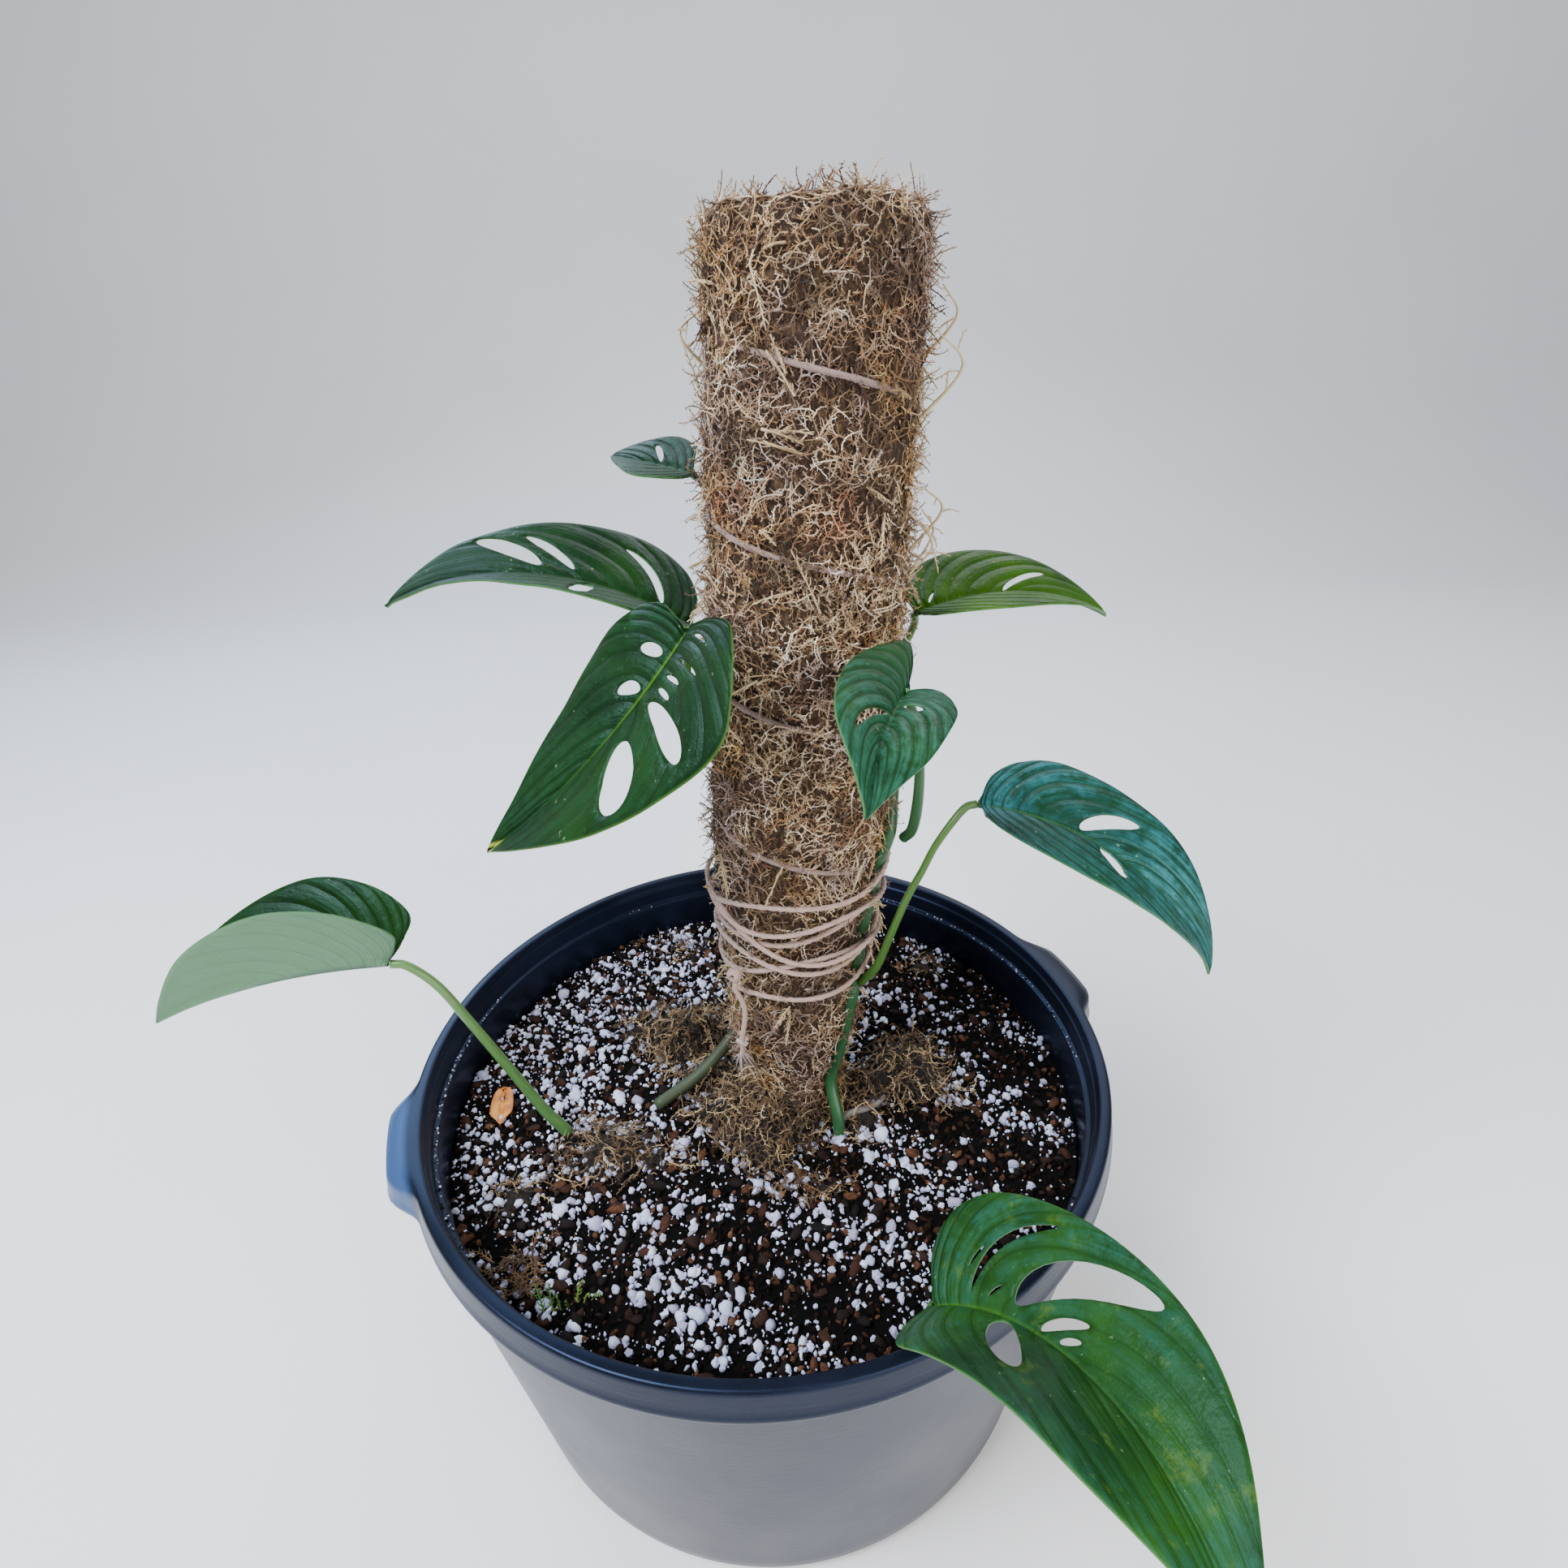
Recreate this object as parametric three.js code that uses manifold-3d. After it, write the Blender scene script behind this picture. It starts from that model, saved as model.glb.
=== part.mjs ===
// Potted monstera: eight holed leaves on two climbing stems tied to a moss pole, in a wide low pot.
// Millimetres, +Z up. The origin is the centre of the pot's flat base. -Y is the front.
import * as THREE from "three";
import { mergeVertices } from "three/addons/utils/BufferGeometryUtils.js";
import Module from "manifold-3d";

const GAP = 0.3; // clear space kept between neighbouring pieces

// Pot: heights are from the base it stands on.
const POT_HEIGHT = 200;
const LIP_RADIUS = 175;
const LIP_WIDTH = 5.5;
const BAND_HEIGHT = 18;
const BODY_TOP_RADIUS = 173;
const BODY_TAPER = 0.14;
const FLOOR_THICKNESS = 3;
const LEDGE_HEIGHT = 185;
const LEDGE_RADIUS = 164.6;
const INNER_TAPER = 0.111;
const POT_SEGMENTS = 64;
const LUG_REACH = 10.5;
const LUG_HALF_WIDTH = 19;
const LUG_BOTTOM = 180;
const LUG_TOP = 197;
const LUG_ANGLES = [15.5, 198.5];

// Soil and pole
const SOIL_TOP = 164;
const POLE_FOOT_X = 7;
const POLE_LEAN = 0.05;
const POLE_TOP = 570;
const CORE_RADIUS = 24;
const CORE_FOOT = 12;
const MOSS_FOOT = 167;

// Cords and stems
const VINE_RADIUS = 3.3;
const VINE_SINK = 2.6;
const TWINE_RADIUS = 1.5;
const PETIOLE_RADIUS = 1.8;
const SHEATH_RADIUS = 3;
const ROOTED_DEPTH = 14;

// Leaves
const LEAF_THICKNESS = 1;
const LEAF_ROWS = 18;
const LEAF_COLUMNS = 4;
const RIB_POWER = 2.6;
const VEIN_BEND = 0.18;

const COLOURS = {
  pot: ["#171c26", 0.35],
  soil: ["#2b211c", 0.95],
  core: ["#8a6f4c", 0.9],
  moss: ["#9a8158", 1],
  twine: ["#bea08c", 0.9],
  stem: ["#6f9448", 0.5],
  oldStem: ["#85775f", 0.8],
  leaf: ["#234f30", 0.4],
  brightLeaf: ["#2f6b35", 0.4],
  dryLeaf: ["#b0683a", 0.8],
};

const wasm = await Module();
wasm.setup();

const part = new THREE.Group();
part.name = "potted_monstera_plant";

// ---------------------------------------------------------------- helpers

const radians = THREE.MathUtils.degToRad;
const vector = (point) => new THREE.Vector3(...point);

function solidOf(geometry) {
  const plain = geometry.clone();
  plain.deleteAttribute("normal");
  plain.deleteAttribute("uv");
  const merged = mergeVertices(plain, 1e-4);
  const vertProperties = new Float32Array(merged.attributes.position.array);
  const triVerts = new Uint32Array(merged.index.array);
  return new wasm.Manifold(new wasm.Mesh({ numProp: 3, vertProperties, triVerts }));
}

function geometryOf(solid) {
  const mesh = solid.getMesh();
  const geometry = new THREE.BufferGeometry();
  geometry.setAttribute("position", new THREE.BufferAttribute(mesh.vertProperties, 3));
  geometry.setIndex(new THREE.BufferAttribute(mesh.triVerts, 1));
  geometry.computeVertexNormals();
  return geometry;
}

// The largest body, for a cut that leaves loose slivers beside it.
function mainBody(solid) {
  return solid.decompose().reduce((best, body) => (body.volume() > best.volume() ? body : best));
}

function add(name, shape, look) {
  const [color, roughness] = COLOURS[look];
  const material = new THREE.MeshStandardMaterial({ color, roughness, metalness: 0 });
  const geometry = shape.isBufferGeometry ? shape : geometryOf(shape);
  const mesh = new THREE.Mesh(geometry, material);
  mesh.name = name;
  part.add(mesh);
}

function lathe(profile, segments) {
  const points = profile.map(([radius, height]) => new THREE.Vector2(radius, height));
  return new THREE.LatheGeometry(points, segments).rotateX(Math.PI / 2);
}

function tube(points, radius, steps, sides = 8) {
  const circle = new THREE.Shape().absarc(0, 0, radius, 0, 2 * Math.PI);
  const path = new THREE.CatmullRomCurve3(points.map(vector), false, "centripetal");
  const settings = { steps, curveSegments: sides / 2, bevelEnabled: false, extrudePath: path };
  return new THREE.ExtrudeGeometry(circle, settings);
}

// A tube wider than the piece by the gap, which also reaches past the piece's first end.
function clearance(points, radius, steps) {
  const first = vector(points[0]);
  const back = first.clone().sub(vector(points[1])).normalize().multiplyScalar(2 * GAP);
  const route = [first.add(back).toArray(), ...points.slice(1)];
  return solidOf(tube(route, radius + 1.5 * GAP, steps));
}

function interpolate(table, at) {
  const next = Math.max(1, table.findIndex(([key]) => key >= at));
  const [k0, v0] = table[next - 1];
  const [k1, v1] = table[next];
  return v0 + ((v1 - v0) * (at - k0)) / (k1 - k0);
}

// ---------------------------------------------------------------- pot

const innerRadius = (z) => 163.8 - (SOIL_TOP - z) * INNER_TAPER;
const bodyRadius = (z) => BODY_TOP_RADIUS - (POT_HEIGHT - BAND_HEIGHT - z) * BODY_TAPER;

const potProfile = [
  [0, 0],
  [bodyRadius(0) - 10, 0],
  [bodyRadius(0) - 4, 2],
  [bodyRadius(8), 8],
  [BODY_TOP_RADIUS, POT_HEIGHT - BAND_HEIGHT],
  [LIP_RADIUS + 1, POT_HEIGHT - BAND_HEIGHT + 1],
  [LIP_RADIUS + 2, POT_HEIGHT - BAND_HEIGHT + 3],
  [LIP_RADIUS + 1.5, POT_HEIGHT - BAND_HEIGHT + 5],
  [LIP_RADIUS, POT_HEIGHT],
  [LIP_RADIUS - LIP_WIDTH, POT_HEIGHT],
  [168.8, 195],
  [167.8, 194.4],
  [167.3, 186],
  [LEDGE_RADIUS, LEDGE_HEIGHT],
  [innerRadius(SOIL_TOP), SOIL_TOP],
  [innerRadius(FLOOR_THICKNESS + 8), FLOOR_THICKNESS + 8],
  [innerRadius(FLOOR_THICKNESS) - 6, FLOOR_THICKNESS],
  [0, FLOOR_THICKNESS],
];

// A grip swells out of the lip: a flat-topped bump with rounded ends.
function lug(angle) {
  const outline = new THREE.Shape();
  const root = LIP_RADIUS - 3;
  const reach = LIP_RADIUS + LUG_REACH;
  outline.moveTo(root, -LUG_HALF_WIDTH - 8);
  outline.bezierCurveTo(root + 6, -LUG_HALF_WIDTH - 4, reach, -LUG_HALF_WIDTH - 2, reach, -9);
  outline.quadraticCurveTo(reach + 1, 0, reach, 9);
  outline.bezierCurveTo(reach, LUG_HALF_WIDTH + 2, root + 6, LUG_HALF_WIDTH + 4, root, LUG_HALF_WIDTH + 8);
  const settings = {
    depth: LUG_TOP - LUG_BOTTOM - 3,
    curveSegments: 6,
    bevelThickness: 1.5,
    bevelSize: 1,
    bevelSegments: 2,
  };
  const grip = new THREE.ExtrudeGeometry(outline, settings);
  return grip.translate(0, 0, LUG_BOTTOM + 1.5).rotateZ(radians(angle));
}

let pot = solidOf(lathe(potProfile, POT_SEGMENTS));
for (const angle of LUG_ANGLES) {
  pot = pot.add(solidOf(lug(angle)));
}
add("nursery_pot", pot, "pot");

// ---------------------------------------------------------------- pole

const poleX = (z) => POLE_FOOT_X + POLE_LEAN * z;

// Moss radius at each height: a thin foot, a waist where it is tied, and a full top.
const mossTable = [
  [0, 27],
  [195, 27],
  [200, 29],
  [220, 33],
  [260, 34],
  [290, 35],
  [305, 38.5],
  [330, 39.7],
  [400, 40],
  [POLE_TOP, 40],
];
const mossRadius = (z) => interpolate(mossTable, z);

// A point on the pole's surface: `out` beyond the moss, at an angle where -90 is the front.
function onPole(angle, z, out) {
  const radius = mossRadius(z) + out;
  const x = poleX(z) + radius * Math.cos(radians(angle));
  return [x, radius * Math.sin(radians(angle)), z];
}

function lean(geometry) {
  const shear = new THREE.Matrix4().makeShear(0, 0, 0, 0, POLE_LEAN, 0);
  return geometry.applyMatrix4(shear).translate(POLE_FOOT_X, 0, 0);
}

const coreProfile = [
  [0, CORE_FOOT],
  [CORE_RADIUS, CORE_FOOT],
  [CORE_RADIUS, POLE_TOP - 12],
  [CORE_RADIUS - 2, POLE_TOP - 10],
  [0, POLE_TOP - 10],
];

function mossProfile(grow) {
  const heights = [195, 200, 220, 260, 290, 305, 330, 400, POLE_TOP - 14];
  const side = heights.map((z) => [mossRadius(z) + grow, z]);
  return [[27 + grow, MOSS_FOOT - grow], ...side, [37 + grow, POLE_TOP - 5 + grow], [28, POLE_TOP + grow]];
}

const mossSleeve = [
  [0, POLE_TOP - 10 + GAP],
  [CORE_RADIUS + GAP - 2, POLE_TOP - 10 + GAP],
  [CORE_RADIUS + GAP, POLE_TOP - 12 + GAP],
  [CORE_RADIUS + GAP, MOSS_FOOT],
  ...mossProfile(0),
  [0, POLE_TOP],
];
const mossEnvelope = [[0, MOSS_FOOT - GAP], ...mossProfile(GAP), [0, POLE_TOP + GAP]];
const coreEnvelope = [
  [0, CORE_FOOT - GAP],
  [CORE_RADIUS + GAP, CORE_FOOT - GAP],
  [CORE_RADIUS + GAP, 250],
  [0, 250],
];

const core = lean(lathe(coreProfile, 32));
let mossWrap = solidOf(lean(lathe(mossSleeve, 32)));
const poleClear = solidOf(lean(lathe(mossEnvelope, 32))).add(solidOf(lean(lathe(coreEnvelope, 32))));

// ---------------------------------------------------------------- stems

const SUNK = -VINE_SINK;

const rightVine = [
  [38, -36, SOIL_TOP - ROOTED_DEPTH],
  [38.5, -31, SOIL_TOP + 8],
  onPole(-48, 190, 1),
  onPole(-42, 210, SUNK),
  onPole(-38, 235, SUNK),
  onPole(-30, 255, SUNK),
  onPole(-26, 280, SUNK),
  onPole(-22, 300, SUNK),
  onPole(-19, 315, SUNK),
  [68.5, -13, 331],
  [71, -7, 345],
  [73, 2, 365],
  [73, 12, 390],
  [71, 21, 415],
];

const leftVine = [
  [-57, -13, SOIL_TOP + VINE_RADIUS + 1],
  [-50, -8, SOIL_TOP + 6],
  [-40, -2, SOIL_TOP + 9],
  [-28, 4, 181],
  onPole(150, 200, 2),
  onPole(148, 222, SUNK),
  onPole(150, 250, SUNK),
  onPole(150, 285, SUNK),
  onPole(150, 316, SUNK),
  onPole(150, 340, 7.4),
  onPole(150, 380, 7.4),
  onPole(142, 430, 7.4),
  onPole(138, 470, 7.4),
];

// Petioles run from stem or soil to just short of a leaf's base.
const petioles = {
  upper_left: { points: [[-26, 38, 372], [-29, 35, 392], [-26, 27, 410], [-21.5, 21.8, 417.4]] },
  large_left: {
    points: [[-22, 17, 374], [-24, 8, 386], [-22.5, -4, 397], [-20, -19, 412], [-17.7, -29.5, 428]],
  },
  small_top_left: { points: [[-15, 33, 452], [-18, 34, 464], [-17.5, 31, 475], [-15.1, 26.8, 480.2]] },
  upper_right: { points: [[74.5, 25, 404], [77, 23, 411], [76.6, 19, 417], [75.8, 15.4, 421.6]] },
  heart_right: {
    points: [[73.5, -18, 334], [74, -22, 350], [73, -29, 372], [68, -44, 398], [63, -53.6, 411.8]],
    sheath: 3,
  },
  right: {
    points: [
      [58, -26, 268],
      [63.6, -28, 287],
      [69.6, -29, 305.6],
      [75.9, -29, 319.8],
      [82.2, -28, 333.3],
      [93.3, -24, 347],
      [99.3, -22.1, 348.4],
    ],
  },
  left_edge: {
    points: [
      [-100, -24.5, SOIL_TOP - ROOTED_DEPTH],
      [-103, -25, 166],
      [-111, -26, 181.6],
      [-123.4, -28, 213.7],
      [-136.6, -30, 247.3],
      [-146.5, -30, 267.8],
      [-157.5, -30, 279.6],
      [-164.8, -30, 281.2],
    ],
  },
  front_right: {
    points: [
      [55, -133, SOIL_TOP - ROOTED_DEPTH],
      [57, -137, 165],
      [61, -143, 182],
      [64.6, -145.6, 193],
      [66, -146, 199],
    ],
  },
};

// ---------------------------------------------------------------- leaves

// Each side of a leaf, in shares of its length: width, where it is widest, how far the lobe
// reaches back past the stalk, fullness towards the tip, and the fold up from flat in degrees.
const side = (width, widest, lobe, fullness, fold) => ({ width, widest, lobe, fullness, fold });

// A hole: [side, place along, place out, half width, half length, slant, first row, first column].
// Sides are 1 for the left and -1 for the right, looking from stalk to tip.
const leaves = {
  upper_left: {
    base: [-20.6, 21.2, 418.2], length: 136, heading: 183, pitch: 35, droop: 61, sweep: 0,
    roll: -22, twist: -12, curl: 0.2, look: "leaf",
    left: side(0.22, 0.3, -0.02, 0.87, 33), right: side(0.27, 0.26, -0.02, 0.95, 7),
    holes: [
      [-1, 0.76, 0.57, 0.02, 0.36, 0.02, 13],
      [-1, 0.53, 0.42, 0.022, 0.32, 0.2, 9],
      [1, 0.63, 0.57, 0.02, 0.34, -0.04, 10],
    ],
  },
  large_left: {
    base: [-17.1, -30.3, 432.5], length: 127, heading: 195, pitch: -52, droop: -17, sweep: -17,
    roll: -12, twist: -13, curl: 0.65, look: "leaf",
    left: side(0.44, 0.2, 0.1, 0.92, 12), right: side(0.29, 0.23, 0.01, 0.9, 29),
    holes: [
      [-1, 0.47, 0.3, 0.03, 0.2, 0.15, 7],
      [1, 0.43, 0.4, 0.015, 0.16, 0.12, 6],
      [1, 0.6, 0.54, 0.022, 0.33, 0.02, 10],
      [1, 0.7, 0.6, 0.03, 0.31, 0.02, 13],
    ],
  },
  small_top_left: {
    base: [-14.5, 25.5, 481], length: 56, heading: 145, pitch: 9, droop: 11, sweep: -18,
    roll: -14, twist: -4, curl: 0.17, look: "leaf",
    left: side(0.32, 0.32, 0.01, 0.81, 14), right: side(0.3, 0.41, -0.12, 0.88, 21),
    holes: [[-1, 0.67, 0.45, 0.03, 0.3, 0.02, 11]],
  },
  upper_right: {
    base: [76, 15, 422.5], length: 101, heading: 17, pitch: 13, droop: 45, sweep: -1,
    roll: 7, twist: 10, curl: 0.15, look: "brightLeaf",
    left: side(0.3, 0.34, -0.02, 1.02, 18), right: side(0.27, 0.38, -0.03, 1, 17),
    holes: [[1, 0.74, 0.42, 0.02, 0.32, 0.08, 12]],
  },
  heart_right: {
    base: [62.6, -54.3, 413.1], length: 70, heading: 247, pitch: 0, droop: 28, sweep: 11,
    roll: -24, twist: -13, curl: 0.58, look: "leaf",
    left: side(0.33, 0.2, 0.05, 1.04, 31), right: side(0.37, 0.32, 0.43, 1.15, 29),
    holes: [[-1, 0.69, 0.4, 0.02, 0.3, 0.18, 11]],
  },
  right: {
    base: [100, -22, 348.5], length: 126, heading: -25, pitch: 1, droop: 70, sweep: -3,
    roll: 7, twist: 5, curl: 0.33, look: "leaf",
    left: side(0.26, 0.25, -0.02, 1.05, 18), right: side(0.21, 0.43, -0.06, 0.87, 14),
    holes: [
      [1, 0.68, 0.42, 0.022, 0.32, 0.06, 11],
      [-1, 0.68, 0.42, 0.022, 0.3, -0.05, 11],
    ],
  },
  left_edge: {
    base: [-166.4, -30, 282], length: 125, heading: 178, pitch: -4, droop: 25, sweep: 0,
    roll: 0, twist: 0, curl: 0, look: "leaf",
    left: side(0.34, 0.3, 0.08, 0.95, 72), right: side(0.34, 0.3, 0.08, 0.95, 55),
    holes: [],
  },
  front_right: {
    base: [66.5, -146, 200], length: 149, heading: -40, pitch: 48, droop: 78, sweep: -44,
    roll: 9, twist: -17, curl: 0, look: "brightLeaf",
    left: side(0.27, 0.25, -0.01, 1.11, 33), right: side(0.27, 0.42, -0.01, 1.11, 25),
    holes: [
      [1, 0.55, 0.49, 0.016, 0.34, 0.19, 8],
      [1, 0.66, 0.51, 0.032, 0.36, 0.1, 11],
      [-1, 0.62, 0.4, 0.035, 0.28, 0.04, 10],
    ],
  },
};

// A uniform Catmull-Rom curve through the points, at t from 0 to 1.
function throughPoints(points, t) {
  const last = points.length - 1;
  const mirror = (a, b) => [2 * a[0] - b[0], 2 * a[1] - b[1]];
  const all = [mirror(points[0], points[1]), ...points, mirror(points[last], points[last - 1])];
  const x = THREE.MathUtils.clamp(t, 0, 1) * last;
  const i = Math.min(Math.floor(x), last - 1);
  const f = x - i;
  const [a, b, c, d] = all.slice(i, i + 4);
  return [0, 1].map((k) => {
    const slope = c[k] - a[k];
    const bend = 2 * a[k] - 5 * b[k] + 4 * c[k] - d[k];
    const twist = 3 * b[k] - a[k] - 3 * c[k] + d[k];
    return 0.5 * (2 * b[k] + slope * f + bend * f * f + twist * f ** 3);
  });
}

function sideOutline({ width: w, widest: p, lobe: b, fullness: s }) {
  return [
    [0, 0],
    [-0.8 * b, 0.25 * w],
    [-b, 0.52 * w],
    [0.35 * p - 0.4 * b, 0.86 * w],
    [p, w],
    [p + (1 - p) * 0.45, 0.76 * w * s],
    [p + (1 - p) * 0.8, 0.3 * w * s],
    [1, 0],
  ];
}

// Direction of the midrib at share u of its length.
function ribDirection(leaf, u) {
  const tilt = radians(leaf.pitch - leaf.droop * Math.max(u, 0) ** 1.2);
  const turn = radians(leaf.heading + leaf.sweep * Math.max(u, 0));
  const level = Math.cos(tilt);
  return new THREE.Vector3(level * Math.cos(turn), level * Math.sin(turn), Math.sin(tilt));
}

function ribPoint(leaf, u) {
  const steps = 40;
  const point = new THREE.Vector3();
  for (let k = 0; k < steps; k += 1) {
    const share = THREE.MathUtils.clamp(u * steps - k, 0, 1);
    point.addScaledVector(ribDirection(leaf, (k + 0.5) / steps), share / steps);
  }
  return point.addScaledVector(ribDirection(leaf, 0), Math.min(u, 0)).multiplyScalar(leaf.length);
}

// A point on the blade: u along the midrib and v out from it, in shares of the leaf's length.
function bladePoint(leaf, hand, u, v) {
  const along = ribDirection(leaf, u);
  const turn = radians(leaf.heading + leaf.sweep * Math.max(u, 0));
  const roll = radians(leaf.roll + leaf.twist * Math.max(u, 0));
  const level = new THREE.Vector3(-Math.sin(turn), Math.cos(turn), 0);
  const upright = along.clone().cross(level);
  const across = level.clone().multiplyScalar(Math.cos(roll)).addScaledVector(upright, Math.sin(roll));
  const normal = upright.clone().multiplyScalar(Math.cos(roll)).addScaledVector(level, -Math.sin(roll));
  const fold = radians(hand > 0 ? leaf.left.fold : leaf.right.fold);
  const size = leaf.length * v;
  return vector(leaf.base)
    .add(ribPoint(leaf, u))
    .addScaledVector(across, hand * size * Math.cos(fold))
    .addScaledVector(normal, size * Math.sin(fold) - leaf.curl * size * v);
}

// Side veins leave the midrib early and curve out to the edge. t picks the vein, r goes along it.
function veinPoint(leaf, hand, t, r) {
  const [edgeU, edgeV] = throughPoints(sideOutline(hand > 0 ? leaf.left : leaf.right), t);
  const rib = t ** RIB_POWER;
  const middleU = (rib + edgeU) / 2 - VEIN_BEND * Math.abs(edgeV);
  const u = (1 - r) ** 2 * rib + 2 * r * (1 - r) * middleU + r * r * edgeU;
  const v = r * (1 - r) * edgeV + r * r * edgeV;
  return bladePoint(leaf, hand, u, v);
}

// Grid corner (i, j) of one side, moved onto the rim of any hole it borders.
function warp(leaf, hand, i, j) {
  let t = i / LEAF_ROWS;
  let r = j / LEAF_COLUMNS;
  for (const [holeHand, along, out, halfWidth, halfLength, slant, row] of leaf.holes) {
    const a = i - (row + 1);
    const b = j - LEAF_COLUMNS / 2;
    const reach = Math.max(Math.abs(a), Math.abs(b));
    if (holeHand !== hand || reach >= 2 || reach < 1) continue;
    const [qx, qy] = [a / reach, b / reach];
    const cx = qx * Math.sqrt(1 - (qy * qy) / 2);
    const cy = qy * Math.sqrt(1 - (qx * qx) / 2);
    const share = THREE.MathUtils.smoothstep(reach, 1, 2);
    const holeR = out + halfLength * cy * reach;
    const holeT = along + halfWidth * cx * reach + slant * (holeR - out);
    t = THREE.MathUtils.lerp(holeT, t, share);
    r = THREE.MathUtils.lerp(holeR, r, share);
  }
  return veinPoint(leaf, hand, t, r);
}

const inHole = (leaf, hand, i, j) =>
  leaf.holes.some(
    ([holeHand, , , , , , row]) => holeHand === hand && i >= row && i < row + 2 && j >= 1 && j < 3,
  );

// The blade as a sheet of triangles: both sides share the midrib, base and tip.
function bladeSheet(leaf) {
  const points = [];
  const triangles = [];
  const index = new Map();
  const corner = (hand, i, j) => {
    const end = i === 0 || i === LEAF_ROWS;
    const key = end ? `end ${i}` : `${j === 0 ? 0 : hand} ${i} ${j}`;
    if (!index.has(key)) {
      index.set(key, points.length);
      points.push(end ? veinPoint(leaf, hand, i / LEAF_ROWS, 0) : warp(leaf, hand, i, j));
    }
    return index.get(key);
  };
  for (const hand of [1, -1]) {
    for (let i = 0; i < LEAF_ROWS; i += 1) {
      for (let j = 0; j < LEAF_COLUMNS; j += 1) {
        if (inHole(leaf, hand, i, j)) continue;
        const quad = [
          corner(hand, i, j),
          corner(hand, i + 1, j),
          corner(hand, i + 1, j + 1),
          corner(hand, i, j + 1),
        ];
        if (hand < 0) quad.reverse();
        const [a, b, c, d] = quad;
        for (const triangle of [[a, b, c], [a, c, d]]) {
          if (new Set(triangle).size === 3) triangles.push(triangle);
        }
      }
    }
  }
  return { points, triangles };
}

// A sheet given a thickness: a top, a bottom, and a wall along every free edge.
function thicken({ points, triangles }, thickness) {
  const normals = points.map(() => new THREE.Vector3());
  for (const [a, b, c] of triangles) {
    const first = points[b].clone().sub(points[a]);
    const second = points[c].clone().sub(points[a]);
    const normal = first.cross(second);
    [a, b, c].forEach((corner) => normals[corner].add(normal));
  }
  const offset = (sign) =>
    points.flatMap((point, k) =>
      point.clone().addScaledVector(normals[k].clone().normalize(), (sign * thickness) / 2).toArray(),
    );
  const count = points.length;
  const edges = new Set(triangles.flatMap(([a, b, c]) => [`${a} ${b}`, `${b} ${c}`, `${c} ${a}`]));
  const faces = triangles.flatMap(([a, b, c]) => [a, b, c, a + count, c + count, b + count]);
  for (const edge of edges) {
    const [a, b] = edge.split(" ").map(Number);
    if (edges.has(`${b} ${a}`)) continue;
    faces.push(b, a, a + count, b, a + count, b + count);
  }
  const geometry = new THREE.BufferGeometry();
  geometry.setAttribute("position", new THREE.Float32BufferAttribute([...offset(1), ...offset(-1)], 3));
  geometry.setIndex(faces);
  return geometry;
}

for (const [name, leaf] of Object.entries(leaves)) {
  add(`leaf_${name}`, thicken(bladeSheet(leaf), LEAF_THICKNESS), leaf.look);
}

for (const [name, { points, sheath }] of Object.entries(petioles)) {
  let petiole = tube(points, PETIOLE_RADIUS, 14);
  if (sheath) petiole = solidOf(petiole).add(solidOf(tube(points.slice(0, sheath), SHEATH_RADIUS, 8)));
  add(`petiole_${name}`, petiole, "stem");
}
add("vine_right", tube(rightVine, VINE_RADIUS, 36), "stem");
add("vine_left", tube(leftVine, VINE_RADIUS, 40), "oldStem");

// ---------------------------------------------------------------- twine

// Turns round the pole: from one angle and height to another, `out` beyond the moss.
function turns(fromAngle, toAngle, fromZ, toZ, out) {
  const count = Math.round(Math.abs(toAngle - fromAngle) / 18);
  return Array.from({ length: count + 1 }, (_, k) => {
    const share = k / count;
    const lerp = THREE.MathUtils.lerp;
    return onPole(lerp(fromAngle, toAngle, share), lerp(fromZ, toZ, share), out);
  });
}

const bindingTwine = [...turns(-142, 1100, 252, 313, 3.4), ...turns(1130, 1560, 310, 275, 7.8)];
const spiralTwine = turns(-55, -1225, 322, 530, 2.1);
const twineTail = [
  [-8.6, -33.2, 266],
  [-9, -32.6, 261],
  [-5.8, -32, 252],
  [-5.5, -32, 243],
  [-7.2, -32, 232.7],
  [-7.5, -32, 228],
  [-7.9, -32, 219.5],
];
const KNOT_CENTRE = [-9, -33.8, 270.6];
const KNOT_RADIUS = 3.9;

add("binding_twine", tube(bindingTwine, TWINE_RADIUS, 104), "twine");
add("spiral_twine", tube(spiralTwine, TWINE_RADIUS, 80), "twine");
add("twine_tail", tube(twineTail, TWINE_RADIUS, 14), "twine");

const knot = new THREE.SphereGeometry(KNOT_RADIUS, 12, 8).scale(1, 1, 0.85).translate(...KNOT_CENTRE);
add("twine_knot", knot, "twine");

// The stems lie in grooves of the moss.
mossWrap = mossWrap.subtract(clearance(rightVine, VINE_RADIUS, 36));
mossWrap = mossWrap.subtract(clearance(leftVine, VINE_RADIUS, 40));

add("pole_core", core, "core");
add("moss_wrap", mainBody(mossWrap), "moss");

// ---------------------------------------------------------------- fallen pieces

// A dry scale leaf, cupped, lying on the soil.
const dryLeaf = {
  base: [-143, 5.5, SOIL_TOP + 1.6],
  length: 24,
  heading: -81,
  pitch: 0,
  droop: 0,
  sweep: 0,
  roll: 0,
  twist: 0,
  curl: 1,
  left: side(0.27, 0.55, -0.02, 1.2, 22),
  right: side(0.27, 0.55, -0.02, 1.2, 22),
  holes: [],
};
add("dry_leaf", thicken(bladeSheet(dryLeaf), 0.8), "dryLeaf");

// ---------------------------------------------------------------- soil and loose moss

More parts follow.
